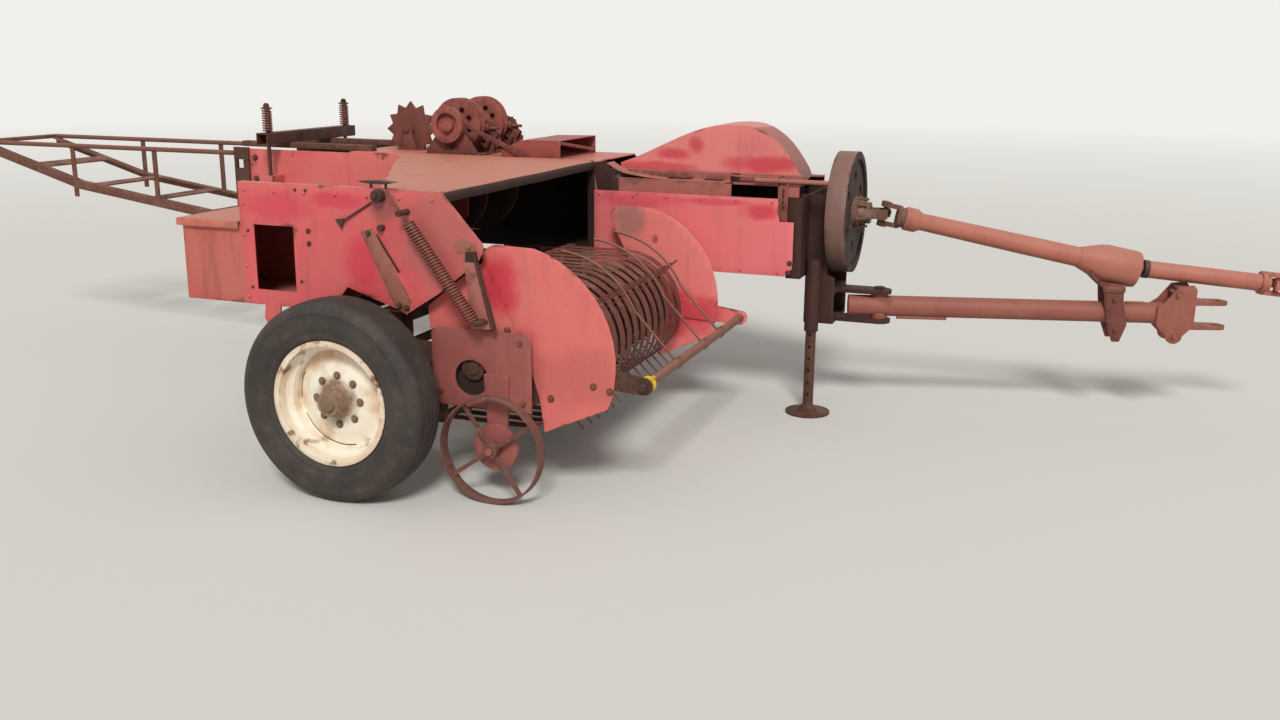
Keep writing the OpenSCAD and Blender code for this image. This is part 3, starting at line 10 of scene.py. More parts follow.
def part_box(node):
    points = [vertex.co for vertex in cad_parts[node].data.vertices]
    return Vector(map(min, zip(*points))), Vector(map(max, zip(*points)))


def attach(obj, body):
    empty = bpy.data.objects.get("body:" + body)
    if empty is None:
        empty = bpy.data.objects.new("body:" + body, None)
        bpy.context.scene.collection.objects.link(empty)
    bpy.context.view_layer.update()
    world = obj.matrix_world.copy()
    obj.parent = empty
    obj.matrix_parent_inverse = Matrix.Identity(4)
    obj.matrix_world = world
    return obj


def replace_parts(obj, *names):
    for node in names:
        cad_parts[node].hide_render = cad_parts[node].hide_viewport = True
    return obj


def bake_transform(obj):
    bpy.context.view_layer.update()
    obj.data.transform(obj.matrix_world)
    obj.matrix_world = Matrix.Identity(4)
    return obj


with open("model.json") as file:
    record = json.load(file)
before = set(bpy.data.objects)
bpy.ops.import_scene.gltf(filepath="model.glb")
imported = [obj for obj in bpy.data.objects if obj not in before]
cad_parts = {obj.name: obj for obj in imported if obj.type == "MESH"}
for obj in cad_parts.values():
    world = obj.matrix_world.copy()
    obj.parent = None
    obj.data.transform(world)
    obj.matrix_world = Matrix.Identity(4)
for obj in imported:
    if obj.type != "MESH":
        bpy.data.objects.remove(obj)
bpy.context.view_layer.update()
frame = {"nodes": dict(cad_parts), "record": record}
nodes = frame["nodes"]
bodyOf = {name: body for body, names in frame["record"]["behaviour"]["bodies"].items() for name in names}
print("frame loaded:", len(nodes), "nodes")


# Colours and materials

def linearHex(code):
    channels = [int(code[i:i + 2], 16) / 255 for i in (1, 3, 5)]
    return (*[c / 12.92 if c <= 0.04045 else ((c + 0.055) / 1.055) ** 2.4 for c in channels], 1)


def addNode(tree, kind, inputs=(), give=0, **settings):
    # inputs holds numbers, hex colours or other nodes' outputs, in order or by socket; give names the output wanted.
    # A MapRange takes a value, the range that it comes from and the range that it goes to
    node = tree.nodes.new("ShaderNode" + kind)
    for name, value in settings.items():
        setattr(node, name, value)
    for socket, value in inputs.items() if isinstance(inputs, dict) else enumerate(inputs):
        if isinstance(value, bpy.types.NodeSocket):
            tree.links.new(value, node.inputs[socket])
        else:
            node.inputs[socket].default_value = linearHex(value) if isinstance(value, str) else value
    return node.outputs[give] if node.outputs else node


def newMaterial(name):
    material = bpy.data.materials.new(name)
    material.use_nodes = True
    material.node_tree.nodes.clear()
    return material, material.node_tree


def finishMaterial(tree, colour, roughness, ior, height, strength, reliefMm):
    # The coloured surface with its relief, as every material here ends
    bump = addNode(tree, "Bump", {"Height": height, "Strength": strength, "Distance": reliefMm / 1000})
    shader = addNode(tree, "BsdfPrincipled", {"Base Color": colour, "Roughness": roughness, "IOR": ior, "Normal": bump})
    addNode(tree, "OutputMaterial", {"Surface": shader})


def blotches(tree, place, sizeMm, low, high, detail=3.0, rough=0.55, stretch=(1, 1, 1)):
    # A soft mask of patches about sizeMm across, from 0 below low to 1 above high
    turned = addNode(tree, "Mapping", {"Vector": place, "Scale": stretch})
    field = addNode(tree, "TexNoise", {"Vector": turned, "Scale": 1000 / sizeMm, "Detail": detail, "Roughness": rough})
    return addNode(tree, "MapRange", [field, low, high], interpolation_type="SMOOTHSTEP")


def coated(tree, paint, coats):
    # Coats over a paint: a mask, how much of it counts, and the colour
    for mask, share, shade in coats:
        cover = addNode(tree, "Math", [mask, share], operation="MULTIPLY")
        paint = addNode(tree, "Mix", {0: cover, 6: paint, 7: shade}, 2, data_type="RGBA")
    return paint


# Sizes of the steel's patterns in millimetres, and the heights of the noise where each begins and is full
steelPatterns = {"cloudMm": 150, "cloud": (0.35, 0.75), "bleach": (0.5, 0.78), "runMm": 45, "run": (0.5, 0.8),
    "runStretch": (1, 1, 0.16), "rimMm": 90, "rim": (0.2, 0.8), "rimReach": 0.6, "fleckMm": 9,
    "fleck": (0.68, 0.73), "rustToneMm": 14, "rustTone": (0.3, 0.7), "grainMm": 3.5, "grain": (0.2, 0.8),
    "patchCover": 0.85, "patchEdge": (0.8, 1.7), "topFacing": (0.3, 0.95), "underFacing": (-0.35, -0.9),
    "rustEdge": (0.72, 0.8), "shade": "#24130d", "cloudRelief": 0.2}


def weatheredSteel(name, look, sizes):
    # Brushed-on enamel over sheet steel: sun-bleached, chalky and dusty on top, where the dusty tone is also a painted
    # top light;
    # darkened underneath by grease and by painted shade, rusted through in flecks and along its edges
    material, tree = newMaterial(name)
    place = addNode(tree, "TexCoord", give="Object")
    facing = addNode(tree, "SeparateXYZ", [addNode(tree, "TexCoord", give="Normal")], 2)
    wear = addNode(tree, "Attribute", give="Fac", attribute_name="wear")
    unbleached = blotches(tree, place, look["bleachMm"], *sizes["bleach"], detail=2)
    cloudy = blotches(tree, place, sizes["cloudMm"], *sizes["cloud"], detail=5)
    runs = blotches(tree, place, sizes["runMm"], *sizes["run"], detail=4, stretch=sizes["runStretch"])
    # Upward faces take the lighter dusty tone: dust, and partly a painted top light
    dustAndLitTop = addNode(tree, "MapRange", [facing, *sizes["topFacing"], 0, look["dust"]])
    spots = []
    for centreMm, radiiMm, shade in look["patches"]:
        # Crimson where something shaded the paint, and brown and dark patches elsewhere
        centre, radii = [[part / 1000 for part in places] for places in (centreMm, radiiMm)]
        offset = addNode(tree, "VectorMath", [place, centre], operation="SUBTRACT")
        scaled = addNode(tree, "VectorMath", [offset, radii], operation="DIVIDE")
        reach = addNode(tree, "VectorMath", [scaled], "Value", operation="LENGTH")
        ragged = blotches(tree, place, sizes["rimMm"], *sizes["rim"])
        ragged = addNode(tree, "Math", [ragged, sizes["rimReach"]], operation="MULTIPLY")
        reach = addNode(tree, "Math", [reach, ragged], operation="ADD")
        spot = addNode(tree, "MapRange", [reach, *sizes["patchEdge"], sizes["patchCover"], 0],
                       interpolation_type="SMOOTHSTEP")
        spots.append((spot, 1, shade))
    coats = [(unbleached, look["strong"], look["fresh"]), (cloudy, look["chalk"], look["chalky"]), *spots,
             (dustAndLitTop, 1, look["dustAndLitTopTone"]), (runs, look["grime"], look["dirt"])]
    # Rust: a fine field eats in from where the wear attribute is high, and in stray flecks
    broad = addNode(tree, "TexNoise", {"Vector": place, "Scale": 1000 / look["rustMm"], "Detail": 9.0,
                                       "Roughness": 0.68})
    worn = addNode(tree, "Math", [wear, look["edgeRust"]], operation="MULTIPLY")
    eaten = addNode(tree, "Math", [broad, worn], operation="ADD")
    rusted = addNode(tree, "MapRange", [eaten, *[edge - look["rust"] for edge in sizes["rustEdge"]]])
    flecks = blotches(tree, place, sizes["fleckMm"], *sizes["fleck"], detail=2)
    flecks = addNode(tree, "Math", [flecks, look["flecks"]], operation="MULTIPLY")
    rusted = addNode(tree, "Math", [rusted, flecks], operation="MAXIMUM")
    tone = blotches(tree, place, sizes["rustToneMm"], *sizes["rustTone"], detail=6, rough=0.7)
    rust = coated(tree, look["darkRust"], [(tone, 1, look["rustTone"])])
    # Downward faces take a dark tone: grease, and partly painted shade
    under = addNode(tree, "MapRange", [facing, *sizes["underFacing"], 0, look["under"]])
    coats += [(rusted, look["rustCover"], rust), (under, 1, sizes["shade"])]
    roughness = addNode(tree, "MapRange", {"Value": rusted, "To Min": look["gloss"], "To Max": 0.9})
    grain = blotches(tree, place, sizes["grainMm"], *sizes["grain"], detail=4)
    pits = addNode(tree, "Math", [rusted, grain], operation="MULTIPLY")
    waves = addNode(tree, "Math", [cloudy, sizes["cloudRelief"]], operation="MULTIPLY")
    height = addNode(tree, "Math", [pits, waves], operation="ADD")
    finishMaterial(tree, coated(tree, look["bleached"], coats), roughness, 1.5, height, 0.5, 1)
    return material


# The tones of a finish, in this order; a finish that leaves them out has the enamel's
toneNames = ("fresh", "bleached", "chalky", "dirt", "dustAndLitTopTone", "darkRust", "rustTone")
# The share of the dusty tone on top is partly painted top light; the share of the dark tone underneath is partly
# painted shade
enamel = {"tones": "#c73645 #d85c5e #cf6e64 #964840 #c57866 #5a3226 #95513f", "rust": 0.0, "rustMm": 110,
    "rustCover": 0.85, "edgeRust": 0.19, "flecks": 0.6, "bleachMm": 520, "strong": 0.6, "chalk": 0.5,
    "dust": 0.75, "grime": 0.34, "under": 0.85, "gloss": 0.5, "patches": []}
looks = {
    "sideEnamel": {"patches": [((0, -927, 745), (62, 200, 92), "#d33a4b"),
        ((-330, -927, 925), (150, 200, 48), "#d24552"), ((-80, -927, 957), (105, 200, 26), "#cf3b49"),
        ((330, -927, 860), (170, 200, 190), "#b4605a"), ((95, -927, 945), (50, 200, 55), "#8f4c45"),
        ((-20, -927, 646), (60, 200, 9), "#6e382f")]},
    "pickupEnamel": {"bleached": "#dd6e69", "chalky": "#d4796b", "strong": 0.25, "grime": 0.25,
        "patches": [((481, -872, 709), (62, 100, 92), "#cf3344"), ((760, -872, 430), (190, 100, 90), "#c4645a")]},
    "farEnamel": {"bleached": "#ec7c76", "chalky": "#e0877a", "strong": 0.25, "grime": 0.25,
        "patches": [((700, 230, 420), (170, 100, 105), "#cd3043"), ((500, 230, 775), (70, 100, 75), "#a8746b"),
        ((609, 230, 709), (13, 60, 18), "#a34d49")]},
    "chamberEnamel": {"bleached": "#d96763"},
    "panelEnamel": {"bleached": "#ea7677", "chalky": "#dc7b72", "grime": 0.22,
        "patches": [((500, 325, 855), (190, 100, 34), "#dd5765"), ((1020, 325, 830), (80, 100, 34), "#d43b4a"),
        ((840, 325, 860), (150, 100, 14), "#d8505e")]},
    "humpEnamel": {"bleached": "#e5827c", "chalky": "#dc8c80", "dustAndLitTopTone": "#cc8072", "dust": 0.5, "grime": 0.3,
        "patches": [((600, 468, 1030), (70, 200, 26), "#cf3f4b"), ((700, 468, 1070), (34, 200, 34), "#cb424d"),
        ((1000, 468, 1000), (150, 200, 34), "#cf3f4b"), ((520, 468, 975), (160, 200, 22), "#d04a52"),
        ((760, 468, 948), (300, 200, 14), "#a85a4e")]},
    "frameIron": {"tones": "#361810 #3a1b12 #472318 #1d0e09 #5c342a #23110c #49291d", "rust": 0.06, "rustMm": 90,
        "rustCover": 0.6, "dust": 0.35, "gloss": 0.75},
    "knotterCast": {"tones": "#8a4138 #944c42 #a66055 #47241b #aa665a #58302a #8a5245", "rust": 0.06, "rustMm": 60,
        "rustCover": 0.6, "dust": 0.6, "grime": 0.5, "gloss": 0.66},
    "barIron": {"tones": "#4a261b #50291d #5e3527 #27140e #6b4030 #311a12 #5d3729", "rust": 0.08, "dust": 0.5,
        "gloss": 0.66},
    "hoodEnamel": {"tones": "#c45f56 #c8705f #cc8570 #8f543f #c67d67 #945541 #ad6a53", "rust": 0.05,
        "rustCover": 0.6, "dust": 1.0, "grime": 0.45, "under": 1.0, "gloss": 0.6},
    "binEnamel": {"tones": "#bd4f4a #c4665b #b9725f #82453a #c47d6b #5a3226 #95513f", "grime": 0.55, "gloss": 0.6},
    "shieldEnamel": {"tones": "#98443f #95504a #a5625a #6c3c34 #b06a60 #5b362d #95513f", "rust": 0.02, "gloss": 0.6},
    "pipeEnamel": {"tones": "#a65746 #b06653 #ba7764 #834a3c #bd7c6a #824a3b #9c5f4b", "rust": 0.03, "rustMm": 70,
        "rustCover": 0.6, "under": 0.35, "gloss": 0.58,
        "patches": [((1555, 607, 794), (30, 60, 60), "#85483a"), ((2346, 818, 628), (110, 90, 90), "#a76652")]},
    "tongueEnamel": {"tones": "#8a4138 #935043 #9e624f #6c3e31 #9c614e #6e4031 #935845", "rust": 0.06, "rustMm": 70,
        "rustCover": 0.6, "under": 0.35, "gloss": 0.62},
    "deckEnamel": {"tones": "#984f48 #a05a51 #ab6b60 #7a463b #b87568 #6b3f34 #92594a", "rust": 0.04, "grime": 0.5,
        "gloss": 0.68},
    "stripEnamel": {"tones": "#94524a #985c4e #a46c5b #6e4136 #c57866 #6a4032 #8f5a49", "rust": 0.05, "gloss": 0.6},
    "linkRust": {"tones": "#a05852 #a8625a #b17468 #6e413a #c57866 #5c362d #8f5a4c", "rust": 0.08, "gloss": 0.6},
    "coverEnamel": {"tones": "#8c3a35 #93443c #9c564a #5e2f28 #a85a4c #552f25 #7e4a3b", "rust": 0.04, "gloss": 0.6},
    "chuteIron": {"tones": "#694033 #714637 #855847 #432a21 #8b5b49 #452b21 #785040", "rust": 0.12, "rustMm": 70,
        "rustCover": 0.7, "under": 0.5, "gloss": 0.68},
    "rustedCasting": {"tones": "#763a30 #703b30 #855043 #3e231c #9d6053 #40251d #774636", "rust": 0.1, "rustMm": 60,
        "rustCover": 0.7, "dust": 0.6, "gloss": 0.7},
    "oldIron": {"tones": "#4a2c23 #503127 #63422f #2a1912 #7b4a3b #2f1d15 #63402f", "rust": 0.16, "rustMm": 80,
        "rustCover": 0.7, "dust": 0.4, "gloss": 0.7},
    "springSteel": {"tones": "#6a372c #733d31 #875143 #321a14 #95594b #39221a #7a4a3a", "rust": 0.16, "rustMm": 40,
        "dust": 0.6, "gloss": 0.55},
    "guardIron": {"tones": "#6f4035 #79493b #915e4e #44281f #9b6a59 #54342a #8d5c4a", "rust": 0.1, "rustMm": 50,
        "under": 0.3, "gloss": 0.55},
    "wheelIron": {"tones": "#5d342d #673c33 #7d5348 #3c231d #8d6558 #573830 #8f6052", "rust": 0.06, "rustMm": 50,
        "under": 0.3, "gloss": 0.55},
    "hubIron": {"tones": "#6f5543 #7a6049 #8d745c #3e2d22 #8d745c #4c3426 #8a5f42", "rust": 0.14, "rustMm": 30,
        "gloss": 0.6},
    "flywheelIron": {"tones": "#6b4b41 #77564b #896659 #45302a #8f6c5d #45302a #6e4e41", "rust": 0.06, "rustMm": 120,
        "rustCover": 0.6, "dust": 0.5, "gloss": 0.6},
    "hubSteel": {"tones": "#75594b #806354 #957767 #46342b #8d7061 #54392c #8a6048", "rust": 0.12, "rustMm": 35,
        "gloss": 0.55},
    "jointIron": {"tones": "#63412f #6b4837 #7c5948 #3b251b #7c5b49 #462c21 #704a3a", "rust": 0.08, "rustMm": 40,
        "gloss": 0.6},
    "darkIron": {"tones": "#38211a #3e251c #4e3124 #20130e #5a3a2c #281812 #4d3022", "rust": 0.1, "gloss": 0.6},
    # Dark iron, also laid as painted shade inside the chamber, on the hood's forward faces, and in gaps, slots, holes
    # and a cup
    "darkInside": {"tones": "#2b1712 #2f1a14 #38241c #190e0a #3b271d #1d120d #3c251b", "rust": 0.1, "gloss": 0.8},
}
steels = {}
for name, change in looks.items():
    tones = zip(toneNames, change.get("tones", enamel["tones"]).split())
    steels[name] = weatheredSteel(name, {**enamel, **dict(tones), **change}, steelPatterns)
print("steel finishes ready:", len(steels))

# Cream wheels: where the hub's rust ends, where the rim's stain and rust begin, their patterns, and the tones
wheelTones = {"hub": (0.06, 0.092, 0.9, 0), "edge": (0.165, 0.215, 0, 0.6), "brownEdge": (0.13, 0.19),
    "raggedMm": 90, "ragged": 0.09, "stains": (150, 0.48, 0.72), "stainShare": 0.75,
    "browns": (80, 0.58, 0.68), "mottle": (18, 0.3, 0.7), "cream": "#f7eedb", "stain": "#c8955c",
    "rust": "#62452f", "lightRust": "#94704d"}


def wheelPaint(name, centre, tones):
    # Cream enamel on a pressed wheel: rust stains spread from the hub and the rim's edge
    material, tree = newMaterial(name)
    place = addNode(tree, "TexCoord", give="Object")
    offset = addNode(tree, "VectorMath", [place, centre], operation="SUBTRACT")
    flat = addNode(tree, "VectorMath", [offset, (1, 0, 1)], operation="MULTIPLY")
    reach = addNode(tree, "VectorMath", [flat], "Value", operation="LENGTH")
    uneven = addNode(tree, "TexNoise", {"Vector": place, "Scale": 1000 / tones["raggedMm"], "Detail": 6.0})
    uneven = addNode(tree, "Math", [uneven, 0.5], operation="SUBTRACT")
    uneven = addNode(tree, "Math", [uneven, tones["ragged"]], operation="MULTIPLY")
    ragged = addNode(tree, "Math", [reach, uneven], operation="ADD")
    hub = addNode(tree, "MapRange", [ragged, *tones["hub"]])
    edge = addNode(tree, "MapRange", [ragged, *tones["edge"]])
    stain = blotches(tree, place, *tones["stains"], detail=5)
    stain = addNode(tree, "Math", [stain, tones["stainShare"]], operation="MULTIPLY")
    stain = addNode(tree, "Math", [stain, edge], operation="MAXIMUM")
    outer = addNode(tree, "MapRange", [ragged, *tones["brownEdge"]])
    brown = blotches(tree, place, *tones["browns"], detail=8)
    brown = addNode(tree, "Math", [brown, outer], operation="MULTIPLY")
    worn = addNode(tree, "Math", [hub, brown], operation="MAXIMUM")
    tone = blotches(tree, place, *tones["mottle"], detail=5)
    rust = coated(tree, tones["rust"], [(tone, 1, tones["lightRust"])])
    colour = coated(tree, tones["cream"], [(stain, 1, tones["stain"]), (worn, 1, rust)])
    finishMaterial(tree, colour, 0.5, 1.5, worn, 0.4, 1)
    return material


def tyreRubber(name):
    # Weathered black rubber: grey bloom and field dust, dull all over
    material, tree = newMaterial(name)
    place = addNode(tree, "TexCoord", give="Object")
    bloom, dust = blotches(tree, place, 160, 0.3, 0.75, detail=4), blotches(tree, place, 40, 0.5, 0.85, detail=7)
    colour = coated(tree, "#302a26", [(bloom, 1, "#433a34"), (dust, 0.4, "#6b5a4b")])
    finishMaterial(tree, colour, 0.72, 1.52, blotches(tree, place, 4, 0.2, 0.8), 0.2, 0.6)
    return material


def mouldedPlastic(name, bright, scuffed):
    # Moulded nylon, scuffed and sun-faded: a soft sheen over small scratches
    material, tree = newMaterial(name)
    scuff = blotches(tree, addNode(tree, "TexCoord", give="Object"), 16, 0.45, 0.75, detail=5)
    finishMaterial(tree, coated(tree, bright, [(scuff, 1, scuffed)]), 0.45, 1.53, scuff, 0.3, 0.5)
    return material


rubber = tyreRubber("tyreRubber")
yellowNylon = mouldedPlastic("yellowNylon", "#e9c21f", "#b3902a")


# Making pieces

sharp = math.radians(35)    # An edge that turns more than this is sharp


def addObject(name, data):
    thing = bpy.data.objects.new(name, data)
    bpy.context.scene.collection.objects.link(thing)
    return thing


def addPiece(name, bm, material, body, bevelMm=0.0, hard=sharp):
    # A bmesh becomes a piece on its body, with smooth round faces and thin rounded edges
    for face in bm.faces:
        face.smooth = True
    for edge in bm.edges:
        edge.smooth = bool(bevelMm) or len(edge.link_faces) != 2 or edge.calc_face_angle(0) < hard
    mesh = bpy.data.meshes.new(name)
    bm.to_mesh(mesh)
    bm.free()
    mesh.materials.append(material)
    piece = addObject(name, mesh)
    if bevelMm:
        rounded = piece.modifiers.new("roundedEdges", "BEVEL")
        rounded.width = bevelMm / 1000
        rounded.segments = 2
        rounded.limit_method = "ANGLE"
        rounded.angle_limit = hard
        rounded.harden_normals = True
    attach(piece, body)
    return piece


def gridCuts(bm, cell):
    # Cuts the mesh on a grid of planes, so that dents and wear have points to sit on
    for axis in range(3):
        spread = [vert.co[axis] for vert in bm.verts]
        low, count = min(spread), int((max(spread) - min(spread)) / cell)
        normal = Vector([1.0 if i == axis else 0.0 for i in range(3)])
        for i in range(1, count):
            bmesh.ops.bisect_plane(bm, geom=bm.verts[:] + bm.edges[:] + bm.faces[:], dist=1e-6,
                                   plane_co=normal * (low + (max(spread) - low) * i / count), plane_no=normal)


def markWear(bm, reach):
    # Writes 1 on the sharp edges, falling to 0 a reach away from them
    layer = bm.verts.layers.float.new("wear")
    rim = {vert for edge in bm.edges for vert in edge.verts
           if len(edge.link_faces) != 2 or edge.calc_face_angle(0) > sharp}
    if not rim:
        return
    tree = kdtree.KDTree(len(rim))
    for index, vert in enumerate(rim):
        tree.insert(vert.co, index)
    tree.balance()
    for vert in bm.verts:
        vert[layer] = max(0.0, 1 - tree.find(vert.co)[2] / reach)


def dent(bm, axis, depth, size, start):
    # Pushes a sheet in and out along one axis in long soft waves
    for vert in bm.verts:
        place = vert.co / size + Vector((start, start, start))
        vert.co[axis] += depth * (0.75 * noise.noise(place) + 0.25 * noise.noise(place * 2.7))


def addCone(bm, place, outward, low, high, radius, tip, sides):
    # A closed cone round a line from place along outward, from low to high on it
    turn = Vector(outward).to_track_quat("Z", "Y").to_matrix().to_4x4()
    bmesh.ops.create_cone(bm, cap_ends=True, segments=sides, radius1=radius, radius2=tip, depth=high - low,
                          matrix=Matrix.Translation(place) @ turn @ Matrix.Translation((0, 0, (low + high) / 2)))


def addBolt(bm, place, outward, sizeMm):
    # Hexagon head with a chamfered top over a washer, across flats about sizeMm
    radius, height, washer = sizeMm / 1000 * 0.577, sizeMm / 1000 * 0.42, sizeMm / 1000 * 0.12
    addCone(bm, place, outward, -washer, washer, radius * 1.5, radius * 1.42, 20)
    addCone(bm, place, outward, washer, washer + height, radius, radius, 6)
    addCone(bm, place, outward, washer + height, washer + height * 1.16, radius, radius * 0.82, 6)


def addRivet(bm, place, outward, sizeMm):
    # Low round head of two cones
    radius = sizeMm / 2000
    addCone(bm, place, outward, -radius * 0.15, radius * 0.55, radius, radius * 0.88, 14)
    addCone(bm, place, outward, radius * 0.53, radius * 0.83, radius * 0.88, radius * 0.45, 14)


def addTube(bm, start, end, radius, sides=12):
    # Round bar between two points
    line = Vector(end) - Vector(start)
    addCone(bm, start, line, 0, line.length, radius, radius, sides)


def facesIn(bm, low, high):
    # The faces whose middle lies in a box given in millimetres
    middles = [(face, face.calc_center_median() * 1000) for face in bm.faces]
    return [face for face, middle in middles if all(low[i] < middle[i] < high[i] for i in range(3))]


def drawHood(bm, look):
    # Sheet bent over an outline of (x, z), open underneath. setBack: where the far side's front starts to be set
    # back and lowered, over what length, and how far it comes
    near, far = [], []
    start, length, backMm, dropMm = look["setBack"]
    for x, z in look["outline"]:
        share = min(1, max(0, (x - start) / length))
        near.append(bm.verts.new((x / 1000, look["sidesY"][0] / 1000, z / 1000)))
        far.append(bm.verts.new(((x - backMm * share) / 1000, look["sidesY"][1] / 1000, (z - dropMm * share) / 1000)))
    for i in range(len(near) - 1):
        bm.faces.new((near[i], near[i + 1], far[i + 1], far[i]))
    bm.faces.new(near)
    bm.faces.new(far)
    bmesh.ops.recalc_face_normals(bm, faces=bm.faces)
    bmesh.ops.solidify(bm, geom=bm.faces[:], thickness=look["sheetMm"] / 1000)
    bmesh.ops.recalc_face_normals(bm, faces=bm.faces)


def fromPin(place, pin):
    # From a pin that lies along X at (y, z) in millimetres to a place in metres
    return Vector((0, place.y - pin[0] / 1000, place.z - pin[1] / 1000))


# The box of the link in metres, the x and slope of its middle line, its foot, and how far the foot widens and shifts
linkLook = {"low": (0.3, -0.9525, 0.56), "high": (0.5, -0.9355, 0.806), "footX": 0.420, "lean": 0.146,
    "footZ": 0.572, "wider": 0.95, "shift": 0.013}


def widenLink(place, look):
    # The link beside the side sheet widens towards its foot
    if all(look["low"][i] < place[i] < look["high"][i] for i in range(3)):
        across = place.x - (look["footX"] - look["lean"] * (place.z - look["footZ"]))
        share = (look["high"][2] - place.z) / (look["high"][2] - look["footZ"])
        place.x += share * (look["wider"] * across - look["shift"])


# Pins along X by node: (y, z, radius), and how far round them the node stays as the CAD has it
pins = {"flywheel": ((580, 815, 22.1), 22.2), "twine_lid": ((-494, 861, 5.02), 14), "twine_box": ((-494, 861, 0), 14)}


def dress(name, look):
    # A copy of a CAD node takes its place, with worn and rounded edges, and dents where it is thin sheet
    bm = bmesh.new()
    if "outline" in look:
        drawHood(bm, look)
    else:
        bm.from_mesh(nodes[name].data)
    bmesh.ops.remove_doubles(bm, verts=bm.verts, dist=2e-5)
    bmesh.ops.dissolve_limit(bm, angle_limit=math.radians(0.5), verts=bm.verts, edges=bm.edges)
    # What stands in a dropped box is drawn again, finer, as a piece of its own
    for low, high in look.get("dropped", []):
        bmesh.ops.delete(bm, geom=facesIn(bm, low, high), context="FACES")
        bmesh.ops.holes_fill(bm, edges=[edge for edge in bm.edges if edge.is_boundary], sides=0)
    gridCuts(bm, look.get("cellMm", 30) / 1000)
    markWear(bm, look.get("wearMm", 22) / 1000)
    zones = look.get("zones", [])
    for index, (finish, low, high) in enumerate(zones, 1):
        for face in facesIn(bm, low, high):
            face.material_index = index
    pin, reach = pins.get(name, ((0, 0, 0), 0))
    nearPin = {vert: vert.co.copy() for vert in bm.verts if fromPin(vert.co, pin).length < reach / 1000}
    if "frontLip" in look:
        # Faces that look forward get a dark tone as painted shade, from the edge over them
        for face in bm.faces:
            if face.normal.x > 0.25 and face.normal.z < 0.8:
                face.material_index = len(zones) + 1
    if name == "pickup_frame":
        for vert in bm.verts:
            widenLink(vert.co, linkLook)
    if "dent" in look:
        axis, depthMm, sizeMm = look["dent"]
        dent(bm, axis, depthMm / 1000, sizeMm / 1000, len(name))
    for vert, place in nearPin.items():
        # No dent reaches a hinge, and its pin turns with a little more room than in the CAD
        vert.co = place
        if fromPin(place, pin).length < pin[2] / 1000:
            vert.co -= fromPin(place, pin) * 0.04
    piece = addPiece("worn_" + name, bm, steels[look["finish"]], bodyOf[name], look.get("bevelMm", 1.0))
    for finish in [zone[0] for zone in zones] + ([look["frontLip"]] if "frontLip" in look else []):
        piece.data.materials.append(steels[finish])
    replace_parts(piece, name)
    return piece


# Sheet parts: a dent is its axis, depth and width; zones and dropped boxes are lowest and highest corners; all in mm
sheets = {
    "side_sheet": {"finish": "sideEnamel", "dent": (1, 2.2, 260),
        "zones": [("stripEnamel", (-20, -940, 590), (190, -927.2, 882)),
            ("oldIron", (-100, -1000, 882), (300, -927.5, 1000))],
        "dropped": [((-90, -960, 870), (90, -927.1, 975))]},
    "pickup_sheet_right": {"finish": "pickupEnamel", "dent": (1, 2.0, 240), "cellMm": 22},
    "pickup_sheet_left": {"finish": "farEnamel", "dent": (1, 2.0, 240)},
    "front_panel": {"finish": "panelEnamel", "dent": (1, 2.0, 300)},
    "feeder_hood": {"finish": "hoodEnamel", "dent": (2, 2.2, 320),
        "zones": [("frameIron", (280, 335, 500), (420, 346, 990))], "frontLip": "darkInside"},
    "twine_box": {"finish": "binEnamel", "dent": (1, 2.0, 200)},
    "twine_lid": {"finish": "hoodEnamel", "dent": (2, 1.2, 220)},
    "crank_cover": {"finish": "humpEnamel", "dent": (1, 2.5, 280), "bevelMm": 0.9,
        "outline": [
            (366, 936), (367, 986), (396, 997), (432, 1009), (486, 1034), (549, 1064), (602, 1088),
            (637, 1104), (680, 1121), (724, 1136), (760, 1145), (800, 1150), (850, 1153), (890, 1152),
            (926, 1148), (962, 1138), (990, 1125), (1014, 1110), (1036, 1093), (1056, 1074), (1076, 1051),
            (1095, 1026), (1113, 1000), (1132, 970), (1147, 936)],
        "sidesY": (468, 790), "setBack": (700, 300, 34, 3.4), "sheetMm": 2.5,
        # The right slope of the hump's top takes the darker shield enamel as painted shade
        "zones": [("shieldEnamel", (940, 474, 900), (1200, 786, 1150))]},
    "knotter_cover": {"finish": "coverEnamel", "dent": (2, 1.5, 200)},
    "pickup_shield": {"finish": "shieldEnamel", "dent": (1, 1.0, 200), "bevelMm": 1.0},
}
solids = {
    "chamberEnamel": ["chamber"],
    "wheelIron": ["gauge_wheel"],
    "pipeEnamel": ["driveline_yoke"],
    "tongueEnamel": ["tongue", "hitch_clevis"],
    "chuteIron": ["chute", "chamber_rails", "driveline_front", "driveline_rear"],
    "deckEnamel": ["deck_beams"],
    "knotterCast": ["knotter_shaft"],
    "rustedCasting": ["knotter_frame", "star_wheel", "pickup_strippers", "carrier_post"],
    "oldIron": ["rear_frame", "axle", "cross_beams", "pickup_frame", "needles", "plunger", "crank", "jack_leg"],
    "frameIron": ["front_frame", "gearbox", "jack_sleeve"],
    "barIron": ["tension_bar"],
    "darkInside": ["feeder_floor", "packer"],
}
